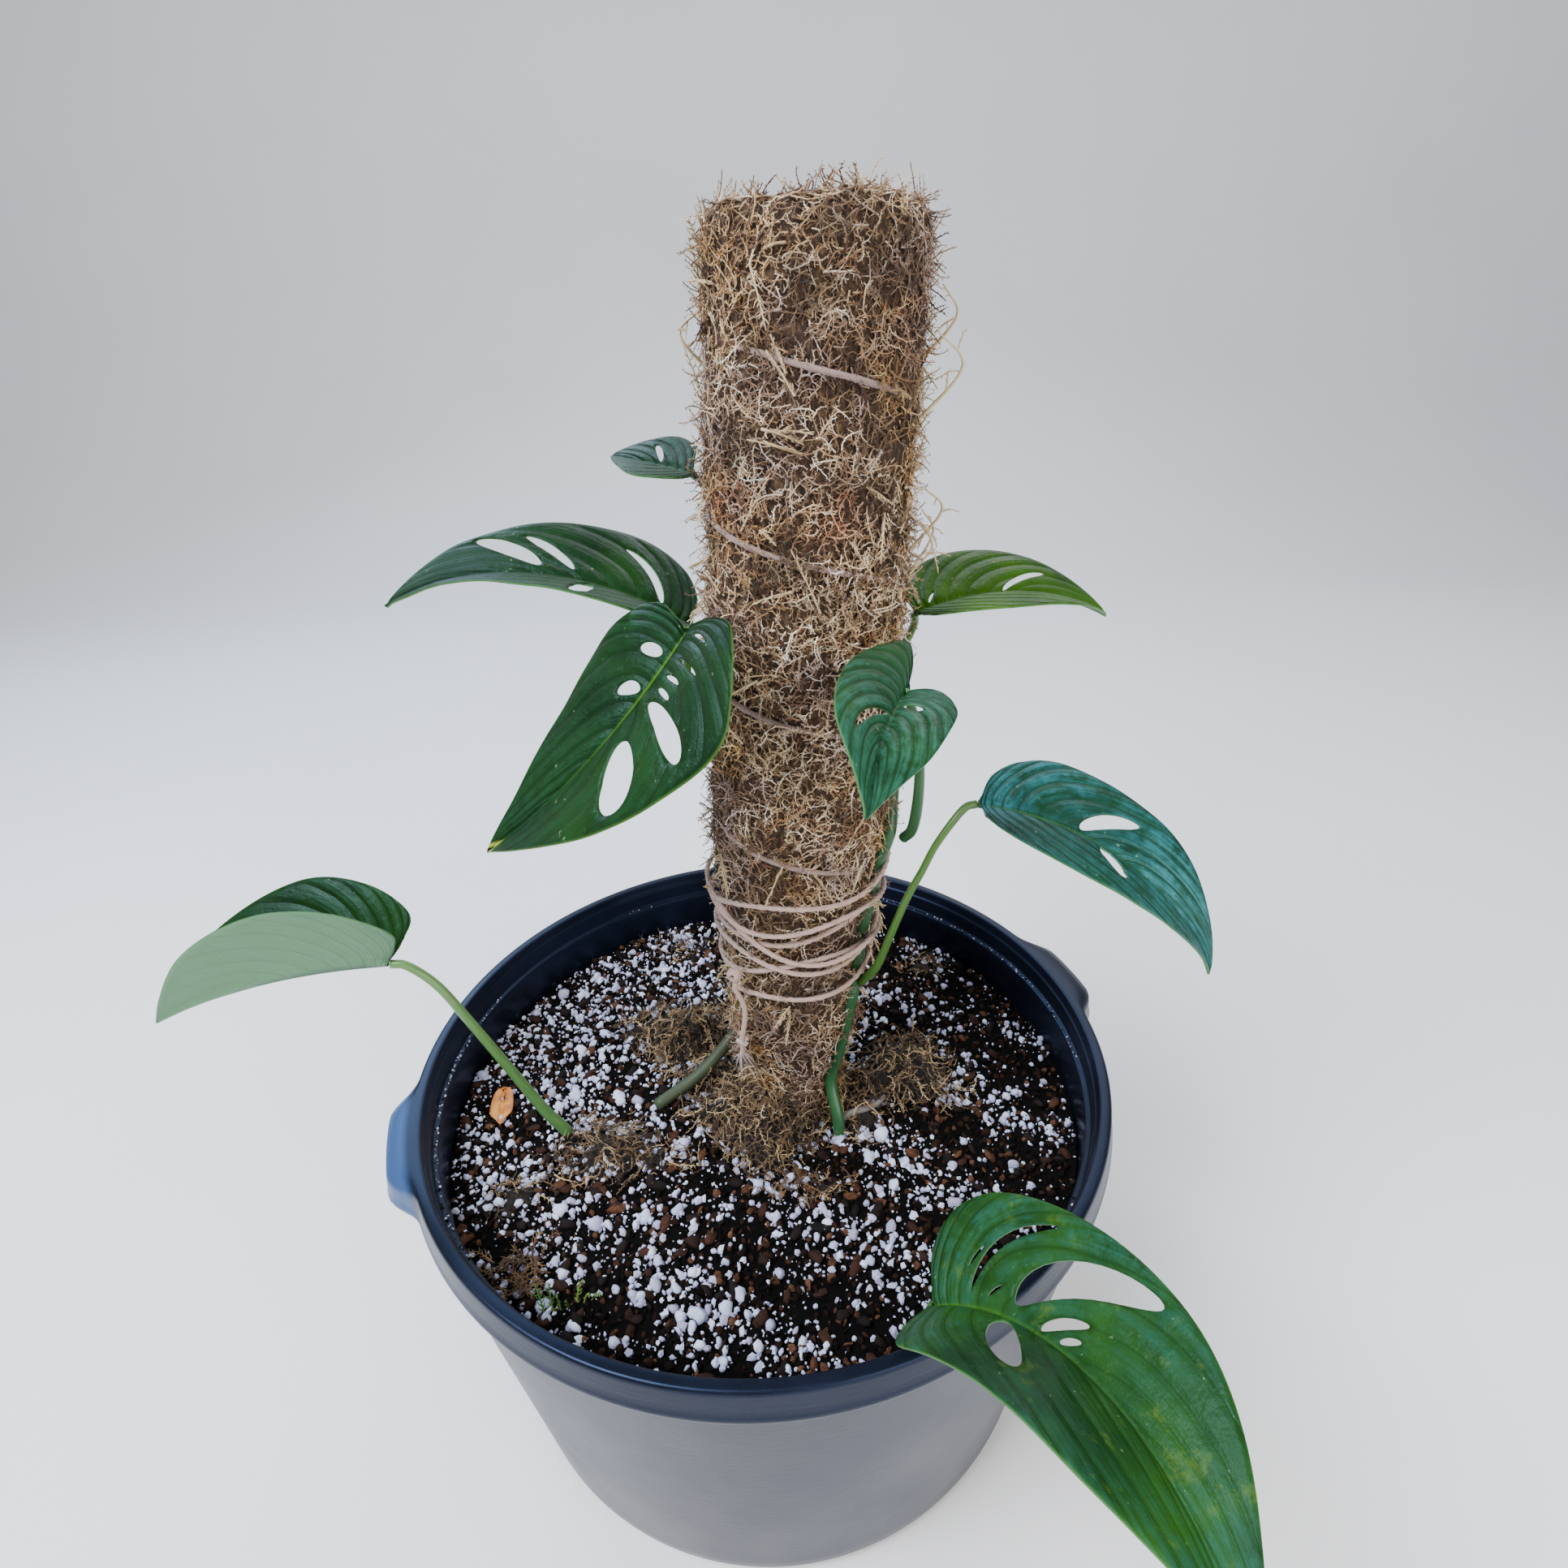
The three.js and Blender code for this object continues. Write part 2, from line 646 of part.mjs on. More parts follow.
const soilProfile = [
  [0, FLOOR_THICKNESS + GAP],
  [innerRadius(FLOOR_THICKNESS) - 6.6, FLOOR_THICKNESS + GAP],
  [innerRadius(FLOOR_THICKNESS + 8) - GAP, FLOOR_THICKNESS + 8],
  [innerRadius(SOIL_TOP) - GAP, SOIL_TOP],
  [150, SOIL_TOP],
  [0, SOIL_TOP],
];
let rooted = solidOf(lean(lathe(coreEnvelope, 32)));
rooted = rooted.add(clearance(rightVine, VINE_RADIUS, 36));
rooted = rooted.add(clearance(petioles.left_edge.points, PETIOLE_RADIUS, 14));
rooted = rooted.add(clearance(petioles.front_right.points, PETIOLE_RADIUS, 14));
add("potting_soil", solidOf(lathe(soilProfile, POT_SEGMENTS)).subtract(rooted), "soil");

// Tufts of loose moss: x, y, half length, half width, height and turn in degrees.
const tufts = {
  moss_tuft_back_left: [-48, 42, 37, 24, 22, 0],
  moss_tuft_front: [3, -24, 39, 27, 34, 0],
  moss_tuft_left: [-74, -39, 38, 19, 18, -4],
  moss_tuft_right: [76, 5, 32, 27, 20, 30],
  moss_tuft_back_right: [101, 98, 18, 8, 9, -25],
  moss_tuft_far_left: [-119, -63, 18, 11, 9, 20],
  moss_tuft_back: [-52, 125, 36, 9, 8, -6],
};
const obstacles = poleClear
  .add(clearance(rightVine, VINE_RADIUS, 36))
  .add(clearance([[-66, -18, SOIL_TOP + 4], ...leftVine], VINE_RADIUS, 42))
  .add(clearance(petioles.left_edge.points, PETIOLE_RADIUS, 14));

for (const [name, [x, y, halfLength, halfWidth, height, turn]] of Object.entries(tufts)) {
  const profile = [[0, 0], [1, 0], [1.02, 0.18], [0.9, 0.55], [0.62, 0.86], [0.3, 0.97], [0, 1]];
  const dome = lathe(profile, 20).scale(halfLength, halfWidth, height).rotateZ(radians(turn));
  dome.translate(x, y, SOIL_TOP + GAP);
  add(name, mainBody(solidOf(dome).subtract(obstacles)), "moss");
}

export default part;
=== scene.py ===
"""Looks of the potted monstera: pot, soil, moss pole, twine, stems and leaves.

Shapes are written in millimetres, and built in metres.
"""

import logging
import math
from dataclasses import dataclass, field
from enum import Enum
from functools import reduce
from typing import Any, Sequence

import bmesh
import bpy
import numpy as np
from mathutils import Matrix, Vector
from mathutils.geometry import delaunay_2d_cdt


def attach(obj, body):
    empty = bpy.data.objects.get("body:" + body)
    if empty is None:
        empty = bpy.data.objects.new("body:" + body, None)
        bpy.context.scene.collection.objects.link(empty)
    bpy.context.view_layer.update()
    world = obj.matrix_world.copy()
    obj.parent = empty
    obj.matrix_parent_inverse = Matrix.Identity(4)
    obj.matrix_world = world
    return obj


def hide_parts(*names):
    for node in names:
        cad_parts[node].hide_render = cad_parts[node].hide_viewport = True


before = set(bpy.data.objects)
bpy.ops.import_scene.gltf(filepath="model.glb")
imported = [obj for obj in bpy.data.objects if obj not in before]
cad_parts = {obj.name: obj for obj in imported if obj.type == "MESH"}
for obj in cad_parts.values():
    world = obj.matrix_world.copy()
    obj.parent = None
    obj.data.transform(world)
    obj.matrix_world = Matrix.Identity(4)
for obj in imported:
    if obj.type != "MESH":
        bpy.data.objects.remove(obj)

log = logging.getLogger("monstera")
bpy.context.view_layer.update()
ROOT = "root"
MM = 0.001

Array = np.ndarray
Point = tuple[float, float, float]
Colour = tuple[float, float, float]


# ---------------------------------------------------------------- small tools


def linear(red: float, green: float, blue: float) -> tuple[float, float, float, float]:
    """A colour given as 0 to 255 on screen, as the shader's linear values."""
    return tuple(((c / 255 + 0.055) / 1.055) ** 2.4 for c in (red, green, blue)) + (1.0,)


class Graph:
    """A short way of writing a node tree."""

    def __init__(self, tree: bpy.types.NodeTree) -> None:
        """Takes the tree that the nodes go in."""
        self.tree = tree

    def node(self, kind: str, inputs: dict | None = None, **settings: Any) -> bpy.types.Node:
        """Adds a node.

        Args:
            kind: the node's Blender type.
            inputs: socket name or number, and its value or the output that feeds it.
            settings: the node's own properties.

        Returns:
            The new node.
        """
        made = self.tree.nodes.new(kind)
        for key, value in settings.items():
            setattr(made, key, value)
        for key, value in (inputs or {}).items():
            if isinstance(value, bpy.types.NodeSocket):
                self.tree.links.new(value, made.inputs[key])
            else:
                made.inputs[key].default_value = value
        return made

    def math(self, operation: str, first: Any, second: Any = 0.0, third: Any = 0.0) -> bpy.types.NodeSocket:
        """A Math node's result; the last number is the third term where it has one."""
        return self.node("ShaderNodeMath", {0: first, 1: second, 2: third}, operation=operation).outputs[0]

    def times(self, first: Any, second: Any) -> bpy.types.NodeSocket:
        """One value multiplied by another."""
        return self.math("MULTIPLY", first, second)

    def plus(self, first: Any, second: Any) -> bpy.types.NodeSocket:
        """The sum of two values."""
        return self.math("ADD", first, second)

    def mix(self, share: Any, first: Any, second: Any, blend: str = "MIX") -> bpy.types.NodeSocket:
        """Two colours mixed by a share."""
        inputs = {"Fac": share, "Color1": first, "Color2": second}
        return self.node("ShaderNodeMixRGB", inputs, blend_type=blend).outputs[0]

    def noise(
        self, where: Any, scale: float, detail: float = 4, roughness: float = 0.5
    ) -> bpy.types.NodeSocket:
        """Soft noise between 0 and 1 at a place."""
        inputs = {"Vector": where, "Scale": scale, "Detail": detail, "Roughness": roughness}
        return self.node("ShaderNodeTexNoise", inputs).outputs[0]

    def ramp(self, value: Any, stops: Sequence[tuple[float, Any]]) -> bpy.types.NodeSocket:
        """A colour ramp with the given stops.

        Args:
            value: the value that picks the colour.
            stops: places from 0 to 1, each with a colour or a grey.

        Returns:
            The colour.
        """
        made = self.node("ShaderNodeValToRGB", {0: value})
        points = made.color_ramp.elements
        while len(points) < len(stops):
            points.new(1.0)
        for point, (place, colour) in zip(points, stops):
            point.position = place
            point.color = colour if isinstance(colour, tuple) else (colour, colour, colour, 1.0)
        return made.outputs[0]


class Surface(Graph):
    """A material being written: its nodes, its places and its shader."""

    def __init__(self, name: str) -> None:
        """Starts a material with one Principled shader.

        Args:
            name: the material's name.
        """
        self.material = bpy.data.materials.new(name)
        self.material.use_nodes = True
        super().__init__(self.material.node_tree)
        self.shader = self.tree.nodes["Principled BSDF"]
        self.place = self.node("ShaderNodeTexCoord").outputs["Object"]

    def attribute(self, name: str) -> bpy.types.NodeSocket:
        """A piece's own attribute as a number."""
        return self.node("ShaderNodeAttribute", attribute_name=name).outputs["Fac"]

    def stretched(self, where: Any, scale: Point, turn: float = 0.0) -> bpy.types.NodeSocket:
        """Places scaled along each axis, and turned about Z in radians."""
        inputs = {"Vector": where, "Scale": scale, "Rotation": (0, 0, turn)}
        return self.node("ShaderNodeMapping", inputs).outputs[0]

    def patches(
        self, scale: float, detail: float, low: float, high: float, roughness: float = 0.5
    ) -> bpy.types.NodeSocket:
        """Patches of 1 on 0, where noise passes from a low to a high value."""
        return self.ramp(self.noise(self.place, scale, detail, roughness), [(low, 0.0), (high, 1.0)])

    def tinted(self, colour: Any, mask: Any, share: float, tone: Any) -> bpy.types.NodeSocket:
        """A colour with a share of a tone where the mask is 1."""
        return self.mix(self.times(mask, share), colour, tone)

    def finish(
        self, bump: Any = None, distance: float = 0.001, strength: float = 1.0, **sockets: Any
    ) -> bpy.types.Material:
        """Sets the shader's sockets.

        Args:
            bump: the height that makes the bump, if any.
            distance: how high the bump stands, in metres.
            strength: how strongly it shows.
            sockets: Principled sockets, with _ for a space.

        Returns:
            The material.
        """
        if bump is not None:
            inputs = {"Height": bump, "Distance": distance, "Strength": strength}
            sockets["Normal"] = self.node("ShaderNodeBump", inputs).outputs[0]
        for key, value in sockets.items():
            socket = self.shader.inputs[key.replace("_", " ")]
            if isinstance(value, bpy.types.NodeSocket):
                self.tree.links.new(value, socket)
            else:
                socket.default_value = value
        return self.material


@dataclass
class Shape:
    """A mesh being made, in millimetres."""

    points: Array
    faces: list
    uv: Array | None = None
    marks: dict[str, Array] = field(default_factory=dict)

    def joined(self, other: "Shape") -> "Shape":
        """This shape and another as one.

        Args:
            other: the shape that comes after this one's points.

        Returns:
            The joined shape, with the marks that both have.
        """
        shift = len(self.points)
        faces = list(self.faces) + [tuple(i + shift for i in face) for face in other.faces]
        uv = None if self.uv is None or other.uv is None else np.vstack([self.uv, other.uv])
        marks = {k: np.concatenate([v, other.marks[k]]) for k, v in self.marks.items() if k in other.marks}
        return Shape(np.vstack([self.points, other.points]), faces, uv, marks)

    def build(self, name: str, smooth: bool = True) -> bpy.types.Object:
        """Makes the Blender object.

        Args:
            name: the object's name.
            smooth: whether its faces are shaded smooth.

        Returns:
            The object, at the origin, with its place in its mesh.
        """
        mesh = bpy.data.meshes.new(name)
        mesh.from_pydata((self.points * MM).tolist(), [], [tuple(map(int, f)) for f in self.faces])
        if self.uv is not None:
            layer = mesh.uv_layers.new(name="along")
            corners = np.empty(len(mesh.loops), dtype=np.int32)
            mesh.loops.foreach_get("vertex_index", corners)
            layer.data.foreach_set("uv", self.uv[corners].astype(np.float32).ravel())
        for key, values in self.marks.items():
            mesh.attributes.new(key, "FLOAT", "POINT").data.foreach_set("value", values.astype(np.float32))
        mesh.polygons.foreach_set("use_smooth", [smooth] * len(mesh.polygons))
        mesh.update()
        made = bpy.data.objects.new(name, mesh)
        bpy.context.scene.collection.objects.link(made)
        return made


def round_angles(segments: int) -> Array:
    """Even angles round a circle, in radians."""
    return np.arange(segments) * 2 * np.pi / segments


def ring(radius: float, angle: Array, height: float) -> Array:
    """The points of a level circle about the Z axis."""
    return np.stack([radius * np.cos(angle), radius * np.sin(angle), np.full(len(angle), height)], -1)


def gathered(shapes: Sequence[Shape]) -> Shape:
    """Several shapes as one."""
    return reduce(Shape.joined, shapes)


def between_rings(rings: int, segments: int, outwards: bool = True) -> list:
    """The four-cornered faces between neighbouring rings of points.

    Args:
        rings: how many rings there are, one after the other.
        segments: points in each ring.
        outwards: whether rings that climb face outwards, not inwards.

    Returns:
        The faces.
    """
    faces: list = []
    for k in range(rings - 1):
        low, high = k * segments, (k + 1) * segments
        for j in range(segments):
            n = (j + 1) % segments
            near, far = ((low + n, high + n), (high + j, high + n))
            face = (low + j, *near, high + j) if outwards else (low + j, *far, low + n)
            faces.append(face)
    return faces


def capped_rings(rings: int, segments: int) -> list:
    """The faces of a closed body: its rings, and fans to the first and last end point.

    Args:
        rings: how many rings there are; the two end points come after the last.
        segments: points in each ring.

    Returns:
        The faces, pointing outwards.
    """
    faces, last = between_rings(rings, segments), (rings - 1) * segments
    for j in range(segments):
        n = (j + 1) % segments
        faces += [(last + segments, n, j), (last + segments + 1, last + j, last + n)]
    return faces


def mound(points: Array, peak: Sequence[float], rings: int) -> Shape:
    """An open sheet of rings about a peak, facing up.

    Args:
        points: rings of points, the innermost first.
        peak: the middle point.
        rings: how many rings there are.

    Returns:
        The sheet, whose last point is the peak.
    """
    hub = len(points)
    segments = hub // rings
    faces = [(hub, j, (j + 1) % segments) for j in range(segments)]
    return Shape(np.vstack([points, [peak]]), faces + between_rings(rings, segments, outwards=False))


def catmull(points: Array, t: Array) -> Array:
    """Points along a uniform Catmull-Rom curve.

    Args:
        points: the points it passes through.
        t: places along it, from 0 to 1.

    Returns:
        One point for each place.
    """
    points = np.asarray(points, float)
    last = len(points) - 1
    ends = np.vstack([2 * points[0] - points[1], points, 2 * points[-1] - points[-2]])
    x = np.clip(np.asarray(t, float), 0, 1) * last
    i = np.minimum(x.astype(int), last - 1)
    f = (x - i)[..., None]
    a, b, c, d = ends[i], ends[i + 1], ends[i + 2], ends[i + 3]
    return 0.5 * (2 * b + (c - a) * f + (2 * a - 5 * b + 4 * c - d) * f**2 + (3 * b - a - 3 * c + d) * f**3)


def along(points: Array, count: int) -> Array:
    """Evenly spaced points on the curve through the given ones.

    Args:
        points: the points it passes through.
        count: how many points to make.

    Returns:
        The points.
    """
    fine = catmull(points, np.linspace(0, 1, 40 * len(points)))
    run = np.concatenate([[0], np.cumsum(np.linalg.norm(np.diff(fine, axis=0), axis=1))])
    places = np.linspace(0, run[-1], count)
    return np.stack([np.interp(places, run, fine[:, k]) for k in range(3)], -1)


def sweep(
    path: Array, radius: Any, sides: int, lobes: int = 0, depth: float = 0.0, pitch: float = 1.0
) -> Shape:
    """A closed round or lobed bar along a path.

    Args:
        path: the points of its middle line.
        radius: one radius, or one for each point.
        sides: sides of the cross-section.
        lobes: strands that twist round it, or 0.
        depth: how deep the grooves between strands are, as a share of the radius.
        pitch: length of one full twist.

    Returns:
        The shape, with UVs that run round and along it.
    """
    path = np.asarray(path, float)
    count = len(path)
    radius = np.broadcast_to(np.asarray(radius, float), (count,))
    tangent = np.gradient(path, axis=0)
    tangent /= np.linalg.norm(tangent, axis=1)[:, None] + 1e-12
    side = np.cross(tangent[0], (0.3, 0.2, 1.0))
    sideways = []
    for k in range(count):
        side = side - tangent[k] * (side @ tangent[k])
        side = side / (np.linalg.norm(side) + 1e-12)
        sideways.append(side)
    sideways = np.array(sideways)
    upward = np.cross(tangent, sideways)
    angle = round_angles(sides)
    run = np.concatenate([[0], np.cumsum(np.linalg.norm(np.diff(path, axis=0), axis=1))])
    size = radius[:, None] * np.ones(sides)
    if lobes:
        turn = 2 * np.pi * run[:, None] / pitch
        size = size * (1 - depth * (1 - np.abs(np.cos(lobes * (angle + turn) / 2))) ** 1.5)
    rings = path[:, None] + size[..., None] * (
        np.cos(angle)[None, :, None] * sideways[:, None] + np.sin(angle)[None, :, None] * upward[:, None]
    )
    points = np.vstack([rings.reshape(-1, 3), path[:1], path[-1:]])
    uv = np.stack([np.tile(angle / (2 * np.pi), count), np.repeat(run / 10, sides)], -1)
    uv = np.vstack([uv, uv[:1], uv[-1:]])
    return Shape(points, capped_rings(count, sides), uv)


def revolve(profile: Sequence[tuple[float, float]], segments: int) -> Shape:
    """A closed body turned about the Z axis.

    Args:
        profile: radius and height from one place on the axis to another, outside first.
        segments: steps round the axis.

    Returns:
        The shape, its faces pointing outwards.
    """
    angle = round_angles(segments)
    inner = profile[1:-1]
    rings = [ring(radius, angle, height) for radius, height in inner]
    points = np.vstack([*rings, [[0, 0, profile[0][1]]], [[0, 0, profile[-1][1]]]])
    return Shape(points, capped_rings(len(inner), segments))


def ripple(points: Array, scale: float, seed: int = 0) -> Array:
    """Smooth pseudo-random values from -1 to 1 over a set of points.

    Args:
        points: places in millimetres.
        scale: waves in each millimetre.
        seed: picks another pattern.

    Returns:
        One value for each point.
    """
    rng = np.random.default_rng(seed)
    total = np.zeros(len(points))
    for octave in range(3):
        for _ in range(4):
            direction = rng.normal(size=3)
            direction /= np.linalg.norm(direction)
            phase = rng.uniform(0, 2 * np.pi)
            total += np.sin(points @ direction * scale * 2 * np.pi * 1.9**octave + phase) * 0.55**octave
    return total / 4.5


def plain_copy(made: bpy.types.Object, name: str, material: bpy.types.Material) -> bpy.types.Object:
    """A modifier's result as a plain mesh object.

    Args:
        made: the object that holds the modifier; it is removed.
        name: the new piece's name.
        material: the material that it wears.

    Returns:
        The plain piece.
    """
    graph = bpy.context.evaluated_depsgraph_get()
    result = made.evaluated_get(graph)
    mesh = bpy.data.meshes.new_from_object(result, preserve_all_data_layers=True, depsgraph=graph)
    mesh.name = name
    bpy.data.objects.remove(made)
    mesh.materials.clear()
    mesh.materials.append(material)
    piece = bpy.data.objects.new(name, mesh)
    bpy.context.scene.collection.objects.link(piece)
    return piece


def settle(piece: bpy.types.Object, slot: str, material: bpy.types.Material, *nodes: str) -> bpy.types.Object:
    """Dresses a piece and ties it to the frame.

    Args:
        piece: the finished piece.
        slot: the record's material slot; not used.
        material: its material.
        nodes: CAD nodes that it stands for.

    Returns:
        The piece.
    """
    piece.data.materials.clear()
    piece.data.materials.append(material)
    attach(piece, ROOT)
    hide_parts(*nodes)
    size = len(piece.data.polygons) if piece.type == "MESH" else 0
    log.info("%s: %d faces, stands for %s", piece.name, size, ", ".join(nodes))
    return piece


# ---------------------------------------------------------------- finishes


@dataclass(frozen=True)
class MouldedPlastic:
    """Dark blue-black pot plastic with faint moulding lines, dust and a painted blue reflection on the left
    lug.
    """

    base: tuple = linear(7, 9, 15)
    dust: tuple = linear(40, 46, 66)
    # the blue of a window reflection, painted on the left lug
    painted_lug_reflection: tuple = linear(58, 86, 130)
    gloss: tuple = linear(160, 190, 255)

    def material(self) -> bpy.types.Material:
        """Writes the material.

        Returns:
            The material.
        """
        s = Surface("pot_plastic")
        lines = s.noise(s.stretched(s.place, (1, 1, 9)), 60, 3)
        cloud = s.noise(s.place, 14, 5, 0.6)
        specks = s.patches(900, 2, 0.62, 0.7)
        dusty = s.times(s.ramp(cloud, [(0.4, 0.0), (0.75, 1.0)]), 0.25)
        colour = s.mix(dusty, self.base, self.dust)
        colour = s.tinted(colour, specks, 0.25, self.dust)
        x, y, _ = s.node("ShaderNodeSeparateXYZ", {0: s.place}).outputs
        reach = s.math("SQRT", s.plus(s.times(x, x), s.times(y, y)))
        # painted reflection: a blue window highlight painted into the colour of the left lug
        lug = s.ramp(s.times(reach, 5.0), [(0.8775, 0.0), (0.895, 1.0)])
        painted_reflection_mask = s.times(lug, s.ramp(s.times(x, -5.0), [(0.5, 0.0), (0.7, 0.8)]))
        colour = s.mix(painted_reflection_mask, colour, self.painted_lug_reflection)
        rough = s.math("MULTIPLY_ADD", cloud, 0.25, 0.2)
        pores = s.times(s.noise(s.place, 700, 2), 0.4)
        grain = s.plus(s.times(lines, 0.6), pores)
        gloss = {"Specular_IOR_Level": 0.33, "Specular_Tint": self.gloss}
        return s.finish(grain, 0.0003, 0.35, Base_Color=colour, Roughness=rough, **gloss)


@dataclass(frozen=True)
class Earth:
    """Dark damp potting mix."""

    def material(self) -> bpy.types.Material:
        """Writes the material.

        Returns:
            The material.
        """
        s = Surface("potting_mix")
        fine = s.noise(s.place, 420, 6, 0.7)
        broad = s.noise(s.place, 60, 4)
        colour = s.ramp(fine, [(0.3, linear(2, 1, 1)), (0.6, linear(10, 7, 6)), (0.78, linear(40, 26, 18))])
        colour = s.tinted(colour, broad, 0.4, linear(8, 5, 4))
        return s.finish(fine, 0.0015, 0.9, Base_Color=colour, Roughness=1.0, Specular_IOR_Level=0.1)


@dataclass(frozen=True)
class Grain:
    """A loose grain's finish, whose tint changes from piece to piece."""

    name: str
    stops: tuple
    roughness: float = 0.85
    scale: float = 900.0
    bump: float = 0.0004
    strength: float = 0.6
    sheen: float = 0.0
    zones: tuple = ()
    shine: float = 0.4

    def material(self) -> bpy.types.Material:
        """Writes the material.

        Returns:
            The material.
        """
        s = Surface(self.name)
        tint = s.attribute("tint")
        fine = s.noise(s.place, self.scale, 4, 0.6)
        value = s.plus(s.times(tint, 0.75), s.times(fine, 0.3))
        colour = s.ramp(value, self.stops)
        broad = s.patches(22, 3, 0.4, 0.7)
        colour = s.tinted(colour, broad, 0.25, self.stops[1][1])
        for k, (tone, low, share) in enumerate(self.zones):
            shift = {"Vector": s.place, "Location": (1.3 * k, 0.7, 2.1 * k)}
            moved = s.node("ShaderNodeMapping", shift).outputs[0]
            patch = s.ramp(s.noise(moved, 24 + 5 * k, 3, 0.6), [(low, 0.0), (low + 0.12, 1.0)])
            colour = s.mix(s.times(patch, share), colour, tone, "MULTIPLY")
        sockets = {"Base_Color": colour, "Roughness": self.roughness, "Sheen_Weight": self.sheen}
        sockets["Specular_IOR_Level"] = self.shine
        return s.finish(fine, self.bump, self.strength, **sockets)


PERLITE = Grain(
    "perlite",
    (
        (0.04, linear(150, 124, 108)),
        (0.2, linear(164, 164, 190)),
        (0.6, linear(200, 206, 236)),
        (0.95, linear(232, 238, 255)),
    ),
    0.75,
    1500.0,
    0.0006,
    0.8,
)
BARK = Grain(
    "bark",
    (
        (0.1, linear(6, 3, 3)),
        (0.5, linear(24, 13, 10)),
        (0.82, linear(58, 32, 20)),
        (1.0, linear(116, 76, 48)),
    ),
    0.85,
    700.0,
    shine=0.2,
)
CRUMB = Grain(
    "crumb",
    (
        (0.1, linear(2, 1, 1)),
        (0.45, linear(12, 8, 6)),
        (0.75, linear(44, 27, 19)),
        (0.95, linear(104, 72, 52)),
    ),
    0.95,
    700.0,
    shine=0.1,
)
DRY_MOSS = Grain(
    "dry_moss",
    (
        (0.05, linear(44, 28, 18)),
        (0.25, linear(112, 82, 54)),
        (0.48, linear(176, 142, 104)),
        (0.72, linear(232, 204, 164)),
        (0.92, linear(255, 248, 226)),
    ),
    0.85,
    500.0,
    0.0003,
    0.5,
    0.1,
    (
        (linear(192, 184, 204), 0.46, 0.9),
        (linear(204, 140, 104), 0.57, 0.75),
        (linear(236, 208, 136), 0.52, 0.7),
        (linear(134, 118, 96), 0.5, 0.85),
    ),
)
GOLD_MOSS = Grain(
    "golden_moss",
    (
        (0.08, linear(22, 12, 6)),
        (0.35, linear(64, 43, 24)),
        (0.62, linear(122, 92, 56)),
        (0.95, linear(226, 198, 148)),
    ),
    0.85,
    500.0,
    0.0003,
    0.5,
    0.1,
    ((linear(200, 184, 186), 0.5, 0.7), (linear(214, 208, 120), 0.6, 0.5)),
)
STRAW_MOSS = Grain(
    "straw_moss",
    (
        (0.1, linear(120, 92, 58)),
        (0.45, linear(184, 160, 118)),
        (0.75, linear(214, 196, 160)),
        (1.0, linear(232, 220, 194)),
    ),
    0.8,
    500.0,
    0.0003,
    0.5,
    0.15,
)
LIVE_MOSS = Grain(
    "live_moss",
    ((0.1, linear(34, 60, 18)), (0.5, linear(72, 108, 34)), (1.0, linear(140, 168, 70))),
    0.6,
)


@dataclass(frozen=True)
class Felt:
    """The dark matted moss behind the loose strands; its darkest tone is painted shade deep between them."""

    name: str = "matted_moss"
    # gap: painted shade deep between the strands; mid and pale are the matted moss's own colour
    gap: tuple = linear(18, 11, 7)
    mid: tuple = linear(84, 60, 40)
    pale: tuple = linear(150, 118, 82)

    def material(self) -> bpy.types.Material:
        """Writes the material.

        Returns:
            The material.
        """
        s = Surface(self.name)
        fibre = s.noise(s.stretched(s.place, (1, 1, 0.5)), 520, 8, 0.75)
        broad = s.noise(s.place, 30, 4)
        # the gap tone paints shade into the fibre's hollows and darkens broad patches
        colour = s.ramp(fibre, [(0.36, self.gap), (0.54, self.mid), (0.7, self.pale)])
        colour = s.tinted(colour, broad, 0.45, self.gap)
        return s.finish(fibre, 0.002, 1.0, Base_Color=colour, Roughness=0.95)


@dataclass(frozen=True)
class Fibre:
    """Twisted natural twine."""

    name: str = "twine_fibre"
    pale: tuple = linear(228, 196, 182)
    dark: tuple = linear(110, 78, 66)

    def material(self) -> bpy.types.Material:
        """Writes the material.

        Returns:
            The material.
        """
        s = Surface(self.name)
        uv = s.node("ShaderNodeUVMap").outputs[0]
        hair = s.noise(s.stretched(uv, (6, 2.2, 1), 0.7), 9, 5, 0.7)
        broad = s.noise(s.place, 120, 3)
        colour = s.ramp(hair, [(0.34, self.dark), (0.56, self.pale)])
        colour = s.tinted(colour, broad, 0.35, self.dark)
        return s.finish(hair, 0.0005, 0.9, Base_Color=colour, Roughness=0.9, Sheen_Weight=0.2)


@dataclass(frozen=True)
class Skin:
    """A stem's smooth skin, streaked along its length."""

    name: str
    green: tuple
    pale: tuple
    spots: tuple
    roughness: float = 0.38

    def material(self) -> bpy.types.Material:
        """Writes the material.

        Returns:
            The material.
        """
        s = Surface(self.name)
        uv = s.node("ShaderNodeUVMap").outputs[0]
        streak = s.noise(s.stretched(uv, (8, 0.35, 1)), 3, 4)
        blot = s.patches(160, 4, 0.58, 0.75, 0.6)
        colour = s.mix(streak, self.green, self.pale)
        colour = s.tinted(colour, blot, 0.5, self.spots)
        rough = s.math("MULTIPLY_ADD", streak, 0.2, self.roughness - 0.1)
        return s.finish(streak, 0.0003, 0.4, Base_Color=colour, Roughness=rough, Subsurface_Weight=0.08)


# how far side veins sweep towards the tip by the edge, in shares of the length, and how they bend
SWEEP = 0.2
SWEEP_POWER = 1.25


